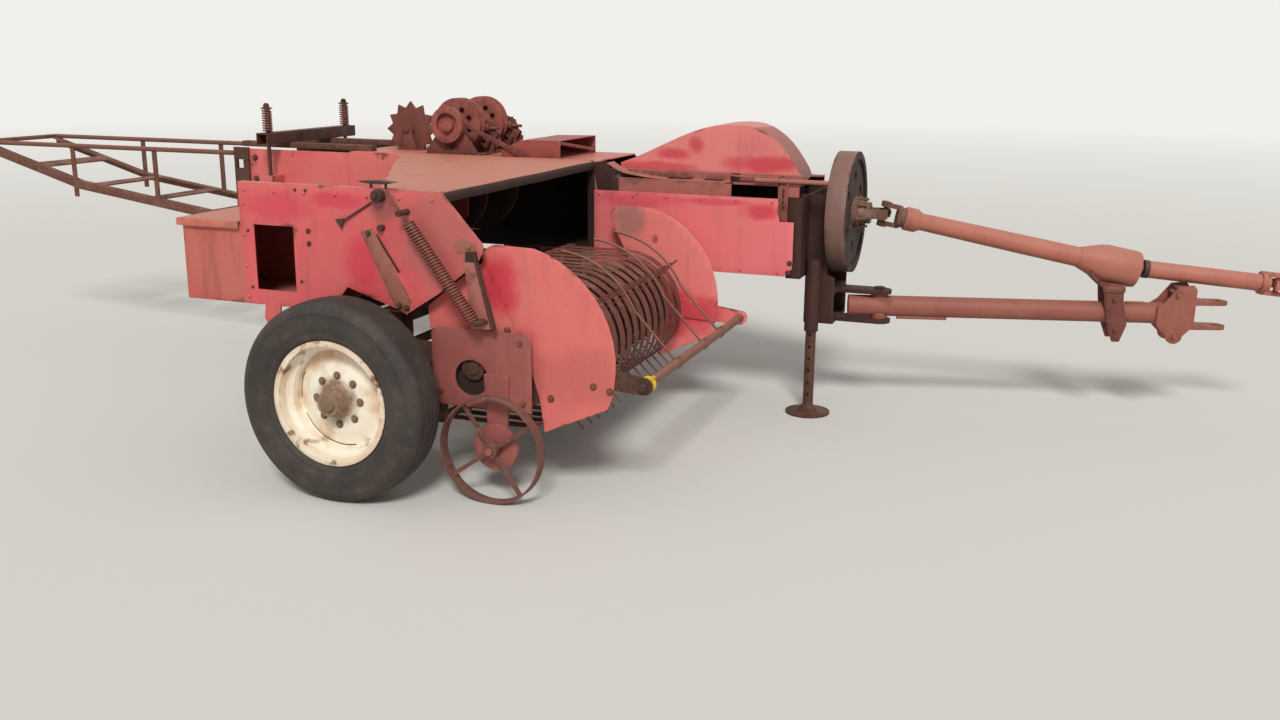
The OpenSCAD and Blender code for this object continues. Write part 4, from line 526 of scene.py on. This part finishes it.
# The dark zones paint shade: inside the chamber, at its edge beside the feed opening, and at the top of the link under
# its hanger
zonesOf = {
    "chamber": [("deckEnamel", (290, 330, 878), (1165, 346, 940)), ("darkInside", (-1425, 349, 629), (1170, 811, 991)),
                ("darkInside", (200, 340, 560), (306, 350, 1000))],
    "deck_beams": [("darkIron", (879, 330, 930.5), (886.5, 440, 967)),
                   ("darkIron", (1075, 330, 930.5), (1081.5, 440, 967))],
    "pickup_frame": [("farEnamel", (560, 200, 300), (1010, 260, 520)),
                     ("linkRust", (300, -942.1, 560), (500, -935.5, 806)),
                     ("darkInside", (300, -960, 806), (500, -930, 840))],
}
droppedOf = {"deck_beams": [((1165, 366, 930), (1256, 392, 956))]}
coarse = {"chamber": 60, "chute": 60, "driveline_shield": 60, "pickup_strippers": 80, "knotter_shaft": 45,
    "feeder_floor": 80, "knotter_frame": 45}
for name, look in sheets.items():
    dress(name, {"bevelMm": 0.8, **look})
print("sheets dressed")
for finish, names in solids.items():
    for name in names:
        dress(name, {"finish": finish, "cellMm": coarse.get(name, 35), "zones": zonesOf.get(name, []),
                     "dropped": droppedOf.get(name, [])})
print("solids dressed")

# Flywheel: brown rim, black dished face, and a lighter hub
flywheelLook = {"finish": "flywheelIron", "axis": (0.580, 0.815), "faceR": 0.2385, "hubR": 0.064}


def makeFlywheel(look):
    piece = dress("flywheel", look)
    piece.data.materials.append(steels["darkInside"])
    piece.data.materials.append(steels["hubSteel"])
    y, z = look["axis"]
    for polygon in piece.data.polygons:
        reach = math.hypot(polygon.center.y - y, polygon.center.z - z)
        polygon.material_index = 0 if reach > look["faceR"] else 1 if reach > look["hubR"] else 2


makeFlywheel(flywheelLook)
nodes["tension_springs"].data.materials.clear()
nodes["tension_springs"].data.materials.append(steels["springSteel"])


def spinLoop(bm, places, centre, axis, steps):
    # Turns a closed loop of places once round an axis
    verts = [bm.verts.new(place) for place in places]
    edges = [bm.edges.new((verts[i], verts[(i + 1) % len(verts)])) for i in range(len(verts))]
    bmesh.ops.spin(bm, geom=verts + edges, cent=centre, axis=axis, dvec=(0, 0, 0), angle=math.tau, steps=steps,
                   use_merge=True)
    bmesh.ops.recalc_face_normals(bm, faces=bm.faces)


def spinProfile(bm, points, centre, steps):
    # Turns a profile of (radius, y) points once round an axis along Y
    spinLoop(bm, [Vector((radius, y, 0)) + centre for radius, y in points], centre, (0, 1, 0), steps)


tyreLook = {"sidePoints": [(196, 58), (208, 61), (211, 66), (216, 71), (222, 75), (228, 77), (231, 76), (236, 79),
        (248, 83.5), (262, 85), (266, 84), (286, 84), (298, 82), (300, 83.2), (303, 82),
        (314, 78), (322, 72), (327, 66), (330, 62)],
    "ribs": [(331.5, 58), (333, 42), (327, 40.5), (327, 36.5), (333.8, 35), (335, 16), (328, 14.5),
        (328, 10.5), (335, 9)], "steps": 112}


def makeTyre(side, look):
    low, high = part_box("tyre_" + side)
    half = [(r / 1000, y / 1000) for r, y in look["sidePoints"] + look["ribs"]]
    bm = bmesh.new()
    spinProfile(bm, half + [(r, -y) for r, y in reversed(half)], (low + high) / 2, look["steps"])
    tyre = addPiece("ribbed_tyre_" + side, bm, rubber, "wheel_" + side, hard=math.radians(50))
    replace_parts(tyre, "tyre_" + side)


# Wheel bolts, hub cap as (radius, y), and the dark arcs painted as shade in the gaps between disc and rim: angles from
# the front upward, and corners
wheelLook = {"middleY": 1.088, "bolts": 8, "boltRing": 0.082, "outFace": 0.012,
    "cap": [(0.001, 0.071), (0.026, 0.072), (0.026, 0.076), (0.022, 0.081), (0.012, 0.0835), (0.001, 0.084)],
    "gaps": [(25, 75), (152, 185), (205, 285)],
    "gap": [(0.158, -0.0133), (0.1615, -0.0149), (0.1615, -0.0143), (0.158, -0.0127)]}


def makeWheel(side, look):
    low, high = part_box("rim_" + side)
    centre = (low + high) / 2
    centre.y = math.copysign(look["middleY"], centre.y)
    out = math.copysign(1, centre.y)
    cream = wheelPaint("wheelPaint_" + side, centre, wheelTones)
    bm = bmesh.new()
    bm.from_mesh(nodes["rim_" + side].data)
    bmesh.ops.remove_doubles(bm, verts=bm.verts, dist=2e-5)
    rim = addPiece("pressed_rim_" + side, bm, cream, "wheel_" + side, 0.8)
    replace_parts(rim, "rim_" + side)
    bm = bmesh.new()
    for i in range(look["bolts"]):
        angle = math.tau * i / look["bolts"]
        place = centre + Vector((math.cos(angle), 0, math.sin(angle))) * look["boltRing"]
        addBolt(bm, place + Vector((0, out * look["outFace"], 0)), (0, out, 0), 16)
    spinProfile(bm, [(radius, out * y) for radius, y in look["cap"]], centre, 32)
    addPiece("wheel_bolts_" + side, bm, steels["hubIron"], "wheel_" + side)
    # Dark arcs on the disc where the gaps to the rim show only shade: painted shade
    bm = bmesh.new()
    for start, end in look["gaps"]:
        corners = [bm.verts.new(centre + Vector((radius, out * y, 0))) for radius, y in look["gap"]]
        face = bm.faces.new(corners)
        bmesh.ops.rotate(bm, verts=corners, cent=centre, matrix=Matrix.Rotation(math.radians(-start), 3, "Y"))
        bmesh.ops.spin(bm, geom=[face], cent=centre, axis=(0, -1, 0), dvec=(0, 0, 0),
                       angle=math.radians(end - start), steps=24)
    bmesh.ops.recalc_face_normals(bm, faces=bm.faces)
    addPiece("rim_gap_shade_" + side, bm, steels["darkInside"], "wheel_" + side)


for side in ("right", "left"):
    makeTyre(side, tyreLook)
    makeWheel(side, wheelLook)
print("wheels made")


def bentRods(name, paths, radius, material, body=None):
    # Round wire bent along each path of points, riding a body where one is given
    curve = bpy.data.curves.new(name, "CURVE")
    curve.dimensions = "3D"
    curve.bevel_depth = radius
    curve.bevel_resolution = 2
    curve.use_fill_caps = True
    for path in paths:
        spline = curve.splines.new("POLY")
        spline.points.add(len(path) - 1)
        for point, place in zip(spline.points, path):
            point.co = (*place, 1)
    curve.materials.append(material)
    rods = addObject(name, curve)
    if body:
        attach(rods, body)
    return rods


def asMesh(name, rods):
    # Makes rods a mesh of their own
    bpy.context.view_layer.update()
    mesh = bpy.data.meshes.new_from_object(rods.evaluated_get(bpy.context.evaluated_depsgraph_get()))
    bpy.data.objects.remove(rods)
    return addObject(name, mesh)


# Tine reel: four bars between two discs, with sprung double tines coiled round the bars
reelLook = {"x": 0.515, "z": 0.445, "barRing": 0.130, "barR": 0.0125, "shaftR": 0.018, "discR": 0.150, "discT": 0.006,
    "hubR": 0.034, "hubEnds": (0.010, -0.030), "inset": 0.020, "tipR": 0.303, "tines": 14, "pitch": 0.068,
    "wireR": 0.0034, "coilR": 0.0175, "coilTurns": 2.5, "coilPitch": 0.0072, "tipBend": 0.012}


def makeReel(look):
    low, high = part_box("pickup_reel")
    centre = Vector((look["x"], 0, look["z"]))
    y0, y1 = low.y + look["inset"], high.y - look["inset"]
    bm = bmesh.new()
    rounds = [(low.y, high.y, look["shaftR"], 28)]
    for y, out in ((y0, -1), (y1, 1)):
        disc, (outer, inner) = out * look["discT"], look["hubEnds"]
        rounds += [(y, y - disc, look["discR"], 64), (y, y + out * outer, look["hubR"], 28),
                   (y - disc, y + out * inner, look["hubR"], 28)]
    for start, end, radius, sides in rounds:
        addTube(bm, centre + Vector((0, start, 0)), centre + Vector((0, end, 0)), radius, sides)
    tines = []
    first = (low.y + high.y) / 2 - look["pitch"] * (look["tines"] - 1) / 2
    for bar in range(4):
        outward = Matrix.Rotation(math.radians(45 + 90 * bar), 3, "Y") @ Vector((1, 0, 0))
        along = Matrix.Rotation(math.radians(-90), 3, "Y") @ outward
        middle = centre + outward * look["barRing"]
        addTube(bm, middle + Vector((0, y0 + 0.005, 0)), middle + Vector((0, y1 - 0.005, 0)), look["barR"], 20)
        for y, out in ((y0, -1), (y1, 1)):
            addBolt(bm, middle + Vector((0, y, 0)), (0, out, 0), 17)
        for i in range(look["tines"]):
            y = first + i * look["pitch"]
            path = []
            steps = int(look["coilTurns"] * 12)
            for step in range(steps + 1):
                turn = math.tau * step / 12 + math.pi * 0.5
                side = look["coilTurns"] * 0.5 - step / 12
                path.append(middle + (outward * math.cos(turn) + along * math.sin(turn)) * look["coilR"]
                            + Vector((0, y + side * look["coilPitch"], 0)))
            start = path[-1]
            for share in (0.25, 0.5, 0.72, 0.86, 0.95, 1.0):
                path.append(start.lerp(centre + outward * look["tipR"] + Vector((0, y, 0)), share)
                            - along * look["tipBend"] * share * share)
            tines.append(path)
    drum = addPiece("reel_drum", bm, steels["oldIron"], "reel", 0.8)
    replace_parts(drum, "pickup_reel")
    bentRods("reel_tines", tines, look["wireR"], steels["springSteel"], "reel")


makeReel(reelLook)

# Wind guard: a bar with three thin rods curved over the reel
guardLook = {"x": 0.970, "z": 0.420, "barR": 0.016, "rods": (-0.540, -0.250, -0.050), "rodR": 0.0045, "pathR": 0.330,
    "bend": range(25, 86, 3), "eye": (0.012, 0.003), "collar": (0.006, 0.012, 0.007), "nearY": -0.872,
    "clamp": ((-0.8605, -0.820, 0.0075), (-0.8565, -0.8485, 0.010), (-0.832, -0.824, 0.010)),
    "clampPins": (-0.8505, -0.830)}


def makeGuard(look):
    low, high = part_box("windguard")
    bar = Vector((look["x"], 0, look["z"]))
    bm = bmesh.new()
    wide, thick = look["eye"]
    start, end, proud = look["collar"]
    # The bar, a flat eye that each rod is bolted through, and a collar at the far end
    for y0, y1, more in ((look["nearY"], high.y, 0), *[(y - wide, y + wide, thick) for y in look["rods"]],
                         (high.y - start, high.y - end, proud)):
        sides = 24 if more == thick else 28
        addTube(bm, bar + Vector((0, y0, 0)), bar + Vector((0, y1, 0)), look["barR"] + more, sides)
    for y in look["rods"]:
        addBolt(bm, bar + Vector((0.006, y, 0.018)), (0.3, 0, 1), 11)
    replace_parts(addPiece("guard_bar", bm, steels["guardIron"], "guard", 0.8), "windguard")
    paths = []
    for y in look["rods"]:
        turns = [math.radians(angle) for angle in look["bend"]]
        paths.append([bar + Vector((-0.004, y, 0.002))]
                     + [Vector((reelLook["x"] + look["pathR"] * math.cos(turn), y,
                                reelLook["z"] + look["pathR"] * math.sin(turn))) for turn in turns])
    bentRods("guard_rods", paths, look["rodR"], steels["guardIron"], "guard")
    bm = bmesh.new()
    for y0, y1, more in look["clamp"]:
        addTube(bm, bar + Vector((0, y0, 0)), bar + Vector((0, y1, 0)), look["barR"] + more, 28)
    for y in look["clampPins"]:
        addTube(bm, bar + Vector((0.012, y, 0.018)), bar + Vector((0.020, y, 0.026)), 0.006, 14)
    addPiece("yellow_clamp", bm, yellowNylon, "guard", 0.8)
    bm = bmesh.new()
    addBolt(bm, bar + Vector((0, look["nearY"], 0)), (0, -1, 0), 24)
    addPiece("guard_bolt", bm, steels["darkIron"], "guard", 0.6)


makeGuard(guardLook)
print("reel and guard made")


def row(start, end, count):
    return [tuple(a + (b - a) * i / (count - 1) for a, b in zip(start, end)) for i in range(count)]


# Small parts of each body in millimetres. Bolts and rivets: places, which way they face, size. Bars: both ends,
# radius, sides. Plates: an outline of (x, z) between two y. Turned: a profile of (radius, y), centre and steps
sideY, panelY, nearY, farY = -927, 325, 345, 815
right, left = (0, -1, 0), (0, 1, 0)
fittings = [
    {"name": "sheet_rivets", "finish": "sideEnamel", "rivets": [
        (row((-452, sideY, 975), (270, sideY, 975), 7), right, 12),
        (row((-459, sideY, 610), (-459, sideY, 930), 4), right, 12),
        (row((330, panelY, 868), (1060, panelY, 868), 6), right, 12),
        (row((330, panelY, 592), (1090, panelY, 592), 6), right, 12),
        (row((420, 468, 955), (1090, 468, 950), 7), right, 12), (row((420, 790, 955), (1040, 790, 950), 7), left, 12),
        (row((-1300, farY, 648), (300, farY, 648), 9), left, 16),
        (row((-850, farY, 972), (250, farY, 972), 7), left, 15),
    ]},
    {"name": "sheet_bolts", "finish": "oldIron", "rivets": [
        ([(-245, sideY, 985), (-204, sideY, 985), (-445, sideY, 839), (-442, sideY, 644), (-240, sideY, 677)],
         right, 12),
    ], "bolts": [
        ([(1137, panelY, 632), (1132, panelY, 594)], right, 13),
        ([(-203, sideY, 850), (-203, sideY, 808)], right, 11),
        ([(32, sideY - 4, 857), (165, sideY - 4, 620), (140, sideY - 4, 625)], right, 13),
        (row((-1390, nearY, 660), (-1390, nearY, 950), 4), right, 18),
        (row((-1390, farY, 660), (-1390, farY, 950), 4), left, 18),
        (row((-1300, nearY, 648), (-850, nearY, 648), 4), right, 17),
        (row((420, farY, 648), (1120, farY, 648), 6), left, 17),
    ]},
    {"name": "pickup_bolts", "body": "pickup", "finish": "springSteel", "bolts": [
        ([(800, -872, 404), (857, -872, 393), (652, -872, 348), (500, -872, 560)], right, 15),
        ([(560, -908, 530), (270, -908, 345), (570, -908, 330)], right, 13),
    ]},
]


def addPlate(bm, outline, y0, y1):
    # An outline of (x, z) points in millimetres, made a plate from y0 to y1
    verts = [bm.verts.new((x / 1000, y0 / 1000, z / 1000)) for x, z in outline]
    moved = bmesh.ops.extrude_face_region(bm, geom=[bm.faces.new(verts)])["geom"]
    bmesh.ops.translate(bm, vec=(0, (y1 - y0) / 1000, 0), verts=[v for v in moved if isinstance(v, bmesh.types.BMVert)])
    bmesh.ops.recalc_face_normals(bm, faces=bm.faces)


def makeFittings(look):
    bm = bmesh.new()
    for outline, y0, y1 in look.get("plates", []):
        addPlate(bm, outline, y0, y1)
    for start, end, radius, sides in look.get("bars", []):
        addTube(bm, Vector(start) / 1000, Vector(end) / 1000, radius / 1000, sides)
    for profile, centre, steps in look.get("turned", []):
        spinProfile(bm, [(radius / 1000, y / 1000) for radius, y in profile], Vector(centre) / 1000, steps)
    for kind, maker in (("bolts", addBolt), ("rivets", addRivet)):
        for places, outward, size in look.get(kind, []):
            for place in places:
                maker(bm, Vector(place) / 1000, outward, size)
    if "onShaft" in look:
        bmesh.ops.transform(bm, matrix=look["onShaft"], verts=bm.verts)
    if "cellMm" in look:
        gridCuts(bm, look["cellMm"] / 1000)
        markWear(bm, look["wearMm"] / 1000)
    addPiece(look["name"], bm, steels[look["finish"]], look.get("body", "frame"), look.get("bevelMm", 0))


for look in fittings:
    makeFittings(look)
print("fittings made")


# Counterweight spring of the pickup: a close coil with a long eye rod, from the side sheet down to the pickup
springLook = {"top": (0.180, -0.966, 0.935), "low": (0.440, -0.966, 0.588), "coilR": 0.017, "wireR": 0.0041,
    "turns": 38, "coilStart": 0.075, "coilEnd": 0.975, "rodTop": (0.134, -0.966, 1.002), "rodR": 0.0045}


def makeSpring(look):
    top, low = Vector(look["top"]), Vector(look["low"])
    line = low - top
    side = line.cross(Vector((0, 1, 0))).normalized()
    path = [Vector(look["rodTop"]), top.lerp(low, look["coilStart"] - 0.02)]
    steps = look["turns"] * 12
    for step in range(steps + 1):
        turn = math.tau * step / 12
        share = look["coilStart"] + (look["coilEnd"] - look["coilStart"]) * step / steps
        radius = look["coilR"] * min(1, (step + 2) / 14, (steps - step + 2) / 14)
        path.append(top + line * share + side * math.cos(turn) * radius + Vector((0, math.sin(turn) * radius, 0)))
    path.append(low)
    coil = asMesh("lift_coil", bentRods("lift_wire", [path], look["wireR"], steels["springSteel"]))
    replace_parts(coil, "lift_spring")
    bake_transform(coil)


makeSpring(springLook)


def onShaft(start, pitch):
    # From a place along a shaft to the baler, for a shaft that starts ahead of the tongue's pivot
    turn = Matrix.Translation((1.456, 0.580, 0)) @ Matrix.Rotation(math.radians(15), 4, "Z")
    return turn @ Matrix.Translation(start) @ Matrix.Rotation(math.radians(pitch), 4, "Y")


rearShaft, frontShaft = onShaft((0, 0, 0.8150), 11.488), onShaft((0.925, 0, 0.627), 5.6)

# Shields of the driveline: outlines of (place along the shaft, radius) from the rear joint, turned round it
shieldLook = {"tube": [(82, 30), (82, 44), (88, 47), (128, 47), (136, 42), (150, 34), (420, 37), (600, 38.5),
        (831, 39.5), (831, 33), (150, 29)],
    "bell": [(786, 41), (828, 56), (864, 68), (890, 73), (1000, 73), (1018, 70), (1018, 66), (864, 63),
        (828, 54.5)]}


def makeShields(look):
    bm = bmesh.new()
    for outline in (look["tube"], look["bell"]):
        spinLoop(bm, [(u / 1000, 0, radius / 1000) for u, radius in outline], (0, 0, 0), (1, 0, 0), 48)
    bmesh.ops.transform(bm, matrix=rearShaft, verts=bm.verts)
    piece = addPiece("driveline_shields", bm, steels["pipeEnamel"], bodyOf["driveline_shield"], 0.8)
    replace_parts(piece, "driveline_shield")


makeShields(shieldLook)

# Bearing caps of the rear universal joint with the cast foot and the collar between its ears: rows of two places
# outward from the joint, radius and sides. Six studs round the yoke in the flywheel's hub, at (y, z). Guard tube of
# the front shaft and a dark ring where it meets the bell.
# Twine guide with its tensioner and lever, the dark backing and dark edge of the slotted brace as painted shade, the
# link's hanger, the rear of the pickup's side, the dark tube in the gauge wheel's plate as painted shade, and the rod,
# dark discs of painted shade in the strap holes, and the sloping sheet at the deck
caps = [(side * start, side * end, radius, sides) for side in (-1, 1)
        for start, end, radius, sides in ((44.5, 49.5, 21, 24), (49.5, 51.5, 12.6, 20))]
studs = [(580 + 53.5 * math.cos(turn), 815 + 53.5 * math.sin(turn))
         for turn in [math.tau * (i + 0.35) / 6 for i in range(6)]]
slope = [(352, 994), (366, 985), (392, 970), (424, 957), (470, 949), (540, 941), (600, 937.5)]
trims = [
    {"name": "hub_studs", "body": "flywheel", "finish": "jointIron", "bevelMm": 0.4,
     "bars": [((1356, y, z), (1392, y, z), 5.5, 12) for y, z in studs],
     "bolts": [([(1356, y, z) for y, z in studs], (1, 0, 0), 17)]},
    {"name": "input_yoke_caps", "body": "flywheel", "finish": "jointIron", "bevelMm": 0.8, "bars": [
        ((1376, 580, 815), (1402, 580, 815), 43, 36),
        *[((1456, 580 + a, 815), (1456, 580 + b, 815), radius, sides) for a, b, radius, sides in caps]]},
    {"name": "rear_yoke_caps", "body": "rear_shaft", "finish": "jointIron", "bevelMm": 0.8, "onShaft": rearShaft,
     "bars": [((66.5, 0, 0), (81.5, 0, 0), 40, 36),
              *[((0, 0, a), (0, 0, b), radius, sides) for a, b, radius, sides in caps]]},
    {"name": "front_guard_tube", "body": "front_yoke", "finish": "pipeEnamel", "bevelMm": 0.8,
     "onShaft": frontShaft, "bars": [((118, 0, 0), (585, 0, 0), 34, 40)]},
    {"name": "front_guard_ring", "body": "front_yoke", "finish": "darkIron", "bevelMm": 0.8,
     "onShaft": frontShaft, "bars": [((98, 0, 0), (118, 0, 0), 36, 40)]},
    {"name": "twine_guide", "finish": "darkIron", "bevelMm": 1.0, "plates": [
        ([(0, 1025), (30, 1020), (60, 1018.5), (85, 1018.5), (115, 1020), (141, 1025), (115, 1028), (85, 1029.5),
          (60, 1029.5), (30, 1028)], -935, -905),
        *[([(x - 4, 1002), (x + 4, 1002), (x + 4, 1020), (x - 4, 1020)], -924, -918) for x in (45, 100)],
    ], "bars": [
        ((83, -926, 982), (83, -960, 982), 18, 28), ((83, -960, 982), (83, -972, 982), 8, 16),
        *[((83, y + 2, 982), (83, y - 2, 982), 21, 28) for y in (-935, -945, -955)],
        ((84, -926, 878), (84, -946, 878), 11, 16),
    ]},
    {"name": "twine_lever", "finish": "darkIron", "bevelMm": 0.6,
     "bars": [((-64, -938, 890), (50, -930, 958), 3.2, 12)],
     "plates": [([(-86, 898), (-54, 902), (-62, 868)], -942, -936)]},
    # Dark plates behind the slot and along its edge: painted shade
    {"name": "slot_shade", "finish": "darkInside", "plates": [
        ([(36, 866), (72, 866), (158, 722), (120, 722)], -923.5, -921),
        ([(58, 852), (65, 853), (143, 737), (136, 733)], -928.2, -926.8)]},
    {"name": "link_hanger", "finish": "stripEnamel", "bevelMm": 0.6,
     "plates": [([(346, 846), (378, 862), (420, 846), (424, 822), (356, 812)], -930.5, -926.5)],
     "bolts": [([(400, -930.5, 836)], right, 13)]},
    {"name": "pickup_rear_side", "body": "pickup", "finish": "pickupEnamel", "bevelMm": 0.6, "plates": [
        ([(214, 545), (211, 620), (330, 716), (396, 762), (416.5, 778), (538, 545)], -872, -868.3)]},
    # A dark cup standing for the shade in the plate's recess: painted shade
    {"name": "shield_cup", "body": "pickup", "finish": "darkInside", "turned": [
        ([(1, -880), (62, -880), (62, -904.5), (66, -904.5), (66, -876), (1, -876)], (384, 0, 400), 40)]},
    {"name": "deck_rod", "finish": "deckEnamel", "bevelMm": 0.8,
     "bars": [((985, 336, 951), (1276, 336, 951), 9.5, 20)]},
    # Dark discs where the strap holes show only shade: painted shade
    {"name": "strap_hole_shade", "finish": "darkInside",
     "bars": [((1101, 328.6, z), (1101, 329.6, z), 5.5, 16) for _, _, z in row((0, 0, 850), (0, 0, 915), 4)]},
    {"name": "deck_slope", "finish": "deckEnamel", "bevelMm": 0.6, "cellMm": 30, "wearMm": 20,
     "plates": [(slope + [(x, z - 2) for x, z in reversed(slope)], 346, 427)]},
]
for look in trims:
    makeFittings(look)
print("driveline, twine guide and deck trim made")


# Stage, light and camera

stage = {"floor": "#e4e1da", "distance": "#f2f0ec", "size": 60.0, "fade": (6.0, 22.0), "sun": 2.05, "sunSize": 14,
    "sunTurn": (48, 0, 20), "sky": 0.42, "skyTone": "#ffffff"}


def makeStage(look):
    bm = bmesh.new()
    bmesh.ops.create_grid(bm, x_segments=1, y_segments=1, size=look["size"])
    mesh = bpy.data.meshes.new("paleFloor")
    bm.to_mesh(mesh)
    bm.free()
    floor = addObject("paleFloor", mesh)
    material, tree = newMaterial("paleFloorPaint")
    place = addNode(tree, "TexCoord", give="Object")
    reach = addNode(tree, "VectorMath", [place], "Value", operation="LENGTH")
    far = addNode(tree, "MapRange", [reach, *look["fade"]])
    matt = addNode(tree, "BsdfDiffuse", {"Color": look["floor"]})
    glow = addNode(tree, "Emission", {"Color": look["distance"], "Strength": 1.0})
    addNode(tree, "OutputMaterial", {"Surface": addNode(tree, "MixShader", [far, matt, glow])})
    mesh.materials.append(material)
    world = bpy.data.worlds.new("studio")
    bpy.context.scene.world = world
    world.use_nodes = True
    tree = world.node_tree
    tree.nodes.clear()
    # The camera, gloss and glass see the pale distance, and everything else gets the soft sky
    camera, gloss, glass = [addNode(tree, "LightPath", give="Is %s Ray" % kind)
                            for kind in ("Camera", "Glossy", "Transmission")]
    seen = addNode(tree, "Math", [gloss, glass], operation="MAXIMUM")
    seen = addNode(tree, "Math", [camera, seen], operation="MAXIMUM")
    soft = addNode(tree, "Background", {"Color": look["skyTone"], "Strength": look["sky"]})
    pale = addNode(tree, "Background", {"Color": look["distance"], "Strength": 1.0})
    addNode(tree, "OutputWorld", {"Surface": addNode(tree, "MixShader", [seen, soft, pale])})
    sun = bpy.data.lights.new("softSun", "SUN")
    sun.energy = look["sun"]
    sun.angle = math.radians(look["sunSize"])
    addObject("softSun", sun).rotation_euler = [math.radians(angle) for angle in look["sunTurn"]]


makeStage(stage)

# The photograph's own view, found from the wheels, the side sheet and the driveline
photoView = {"heading": 20.384, "tilt": 14.428, "roll": 0.457, "lensMm": 33.83, "place": (2.22, -4.27, 1.44)}


def makeCamera(view):
    camera = bpy.data.cameras.new("photoCamera")
    camera.lens = view["lensMm"]
    camera.sensor_width = 36
    camera.clip_end = 200
    holder = addObject("photoCamera", camera)
    turn = Matrix.Rotation(math.radians(view["heading"]), 4, "Z")
    turn = turn @ Matrix.Rotation(math.radians(90 - view["tilt"]), 4, "X")
    turn = turn @ Matrix.Rotation(math.radians(view["roll"]), 4, "Z")
    holder.matrix_world = Matrix.Translation(Vector(view["place"])) @ turn
    bpy.context.scene.camera = holder


makeCamera(photoView)
bpy.context.scene.view_settings.view_transform = "Standard"
print("stage and camera ready")
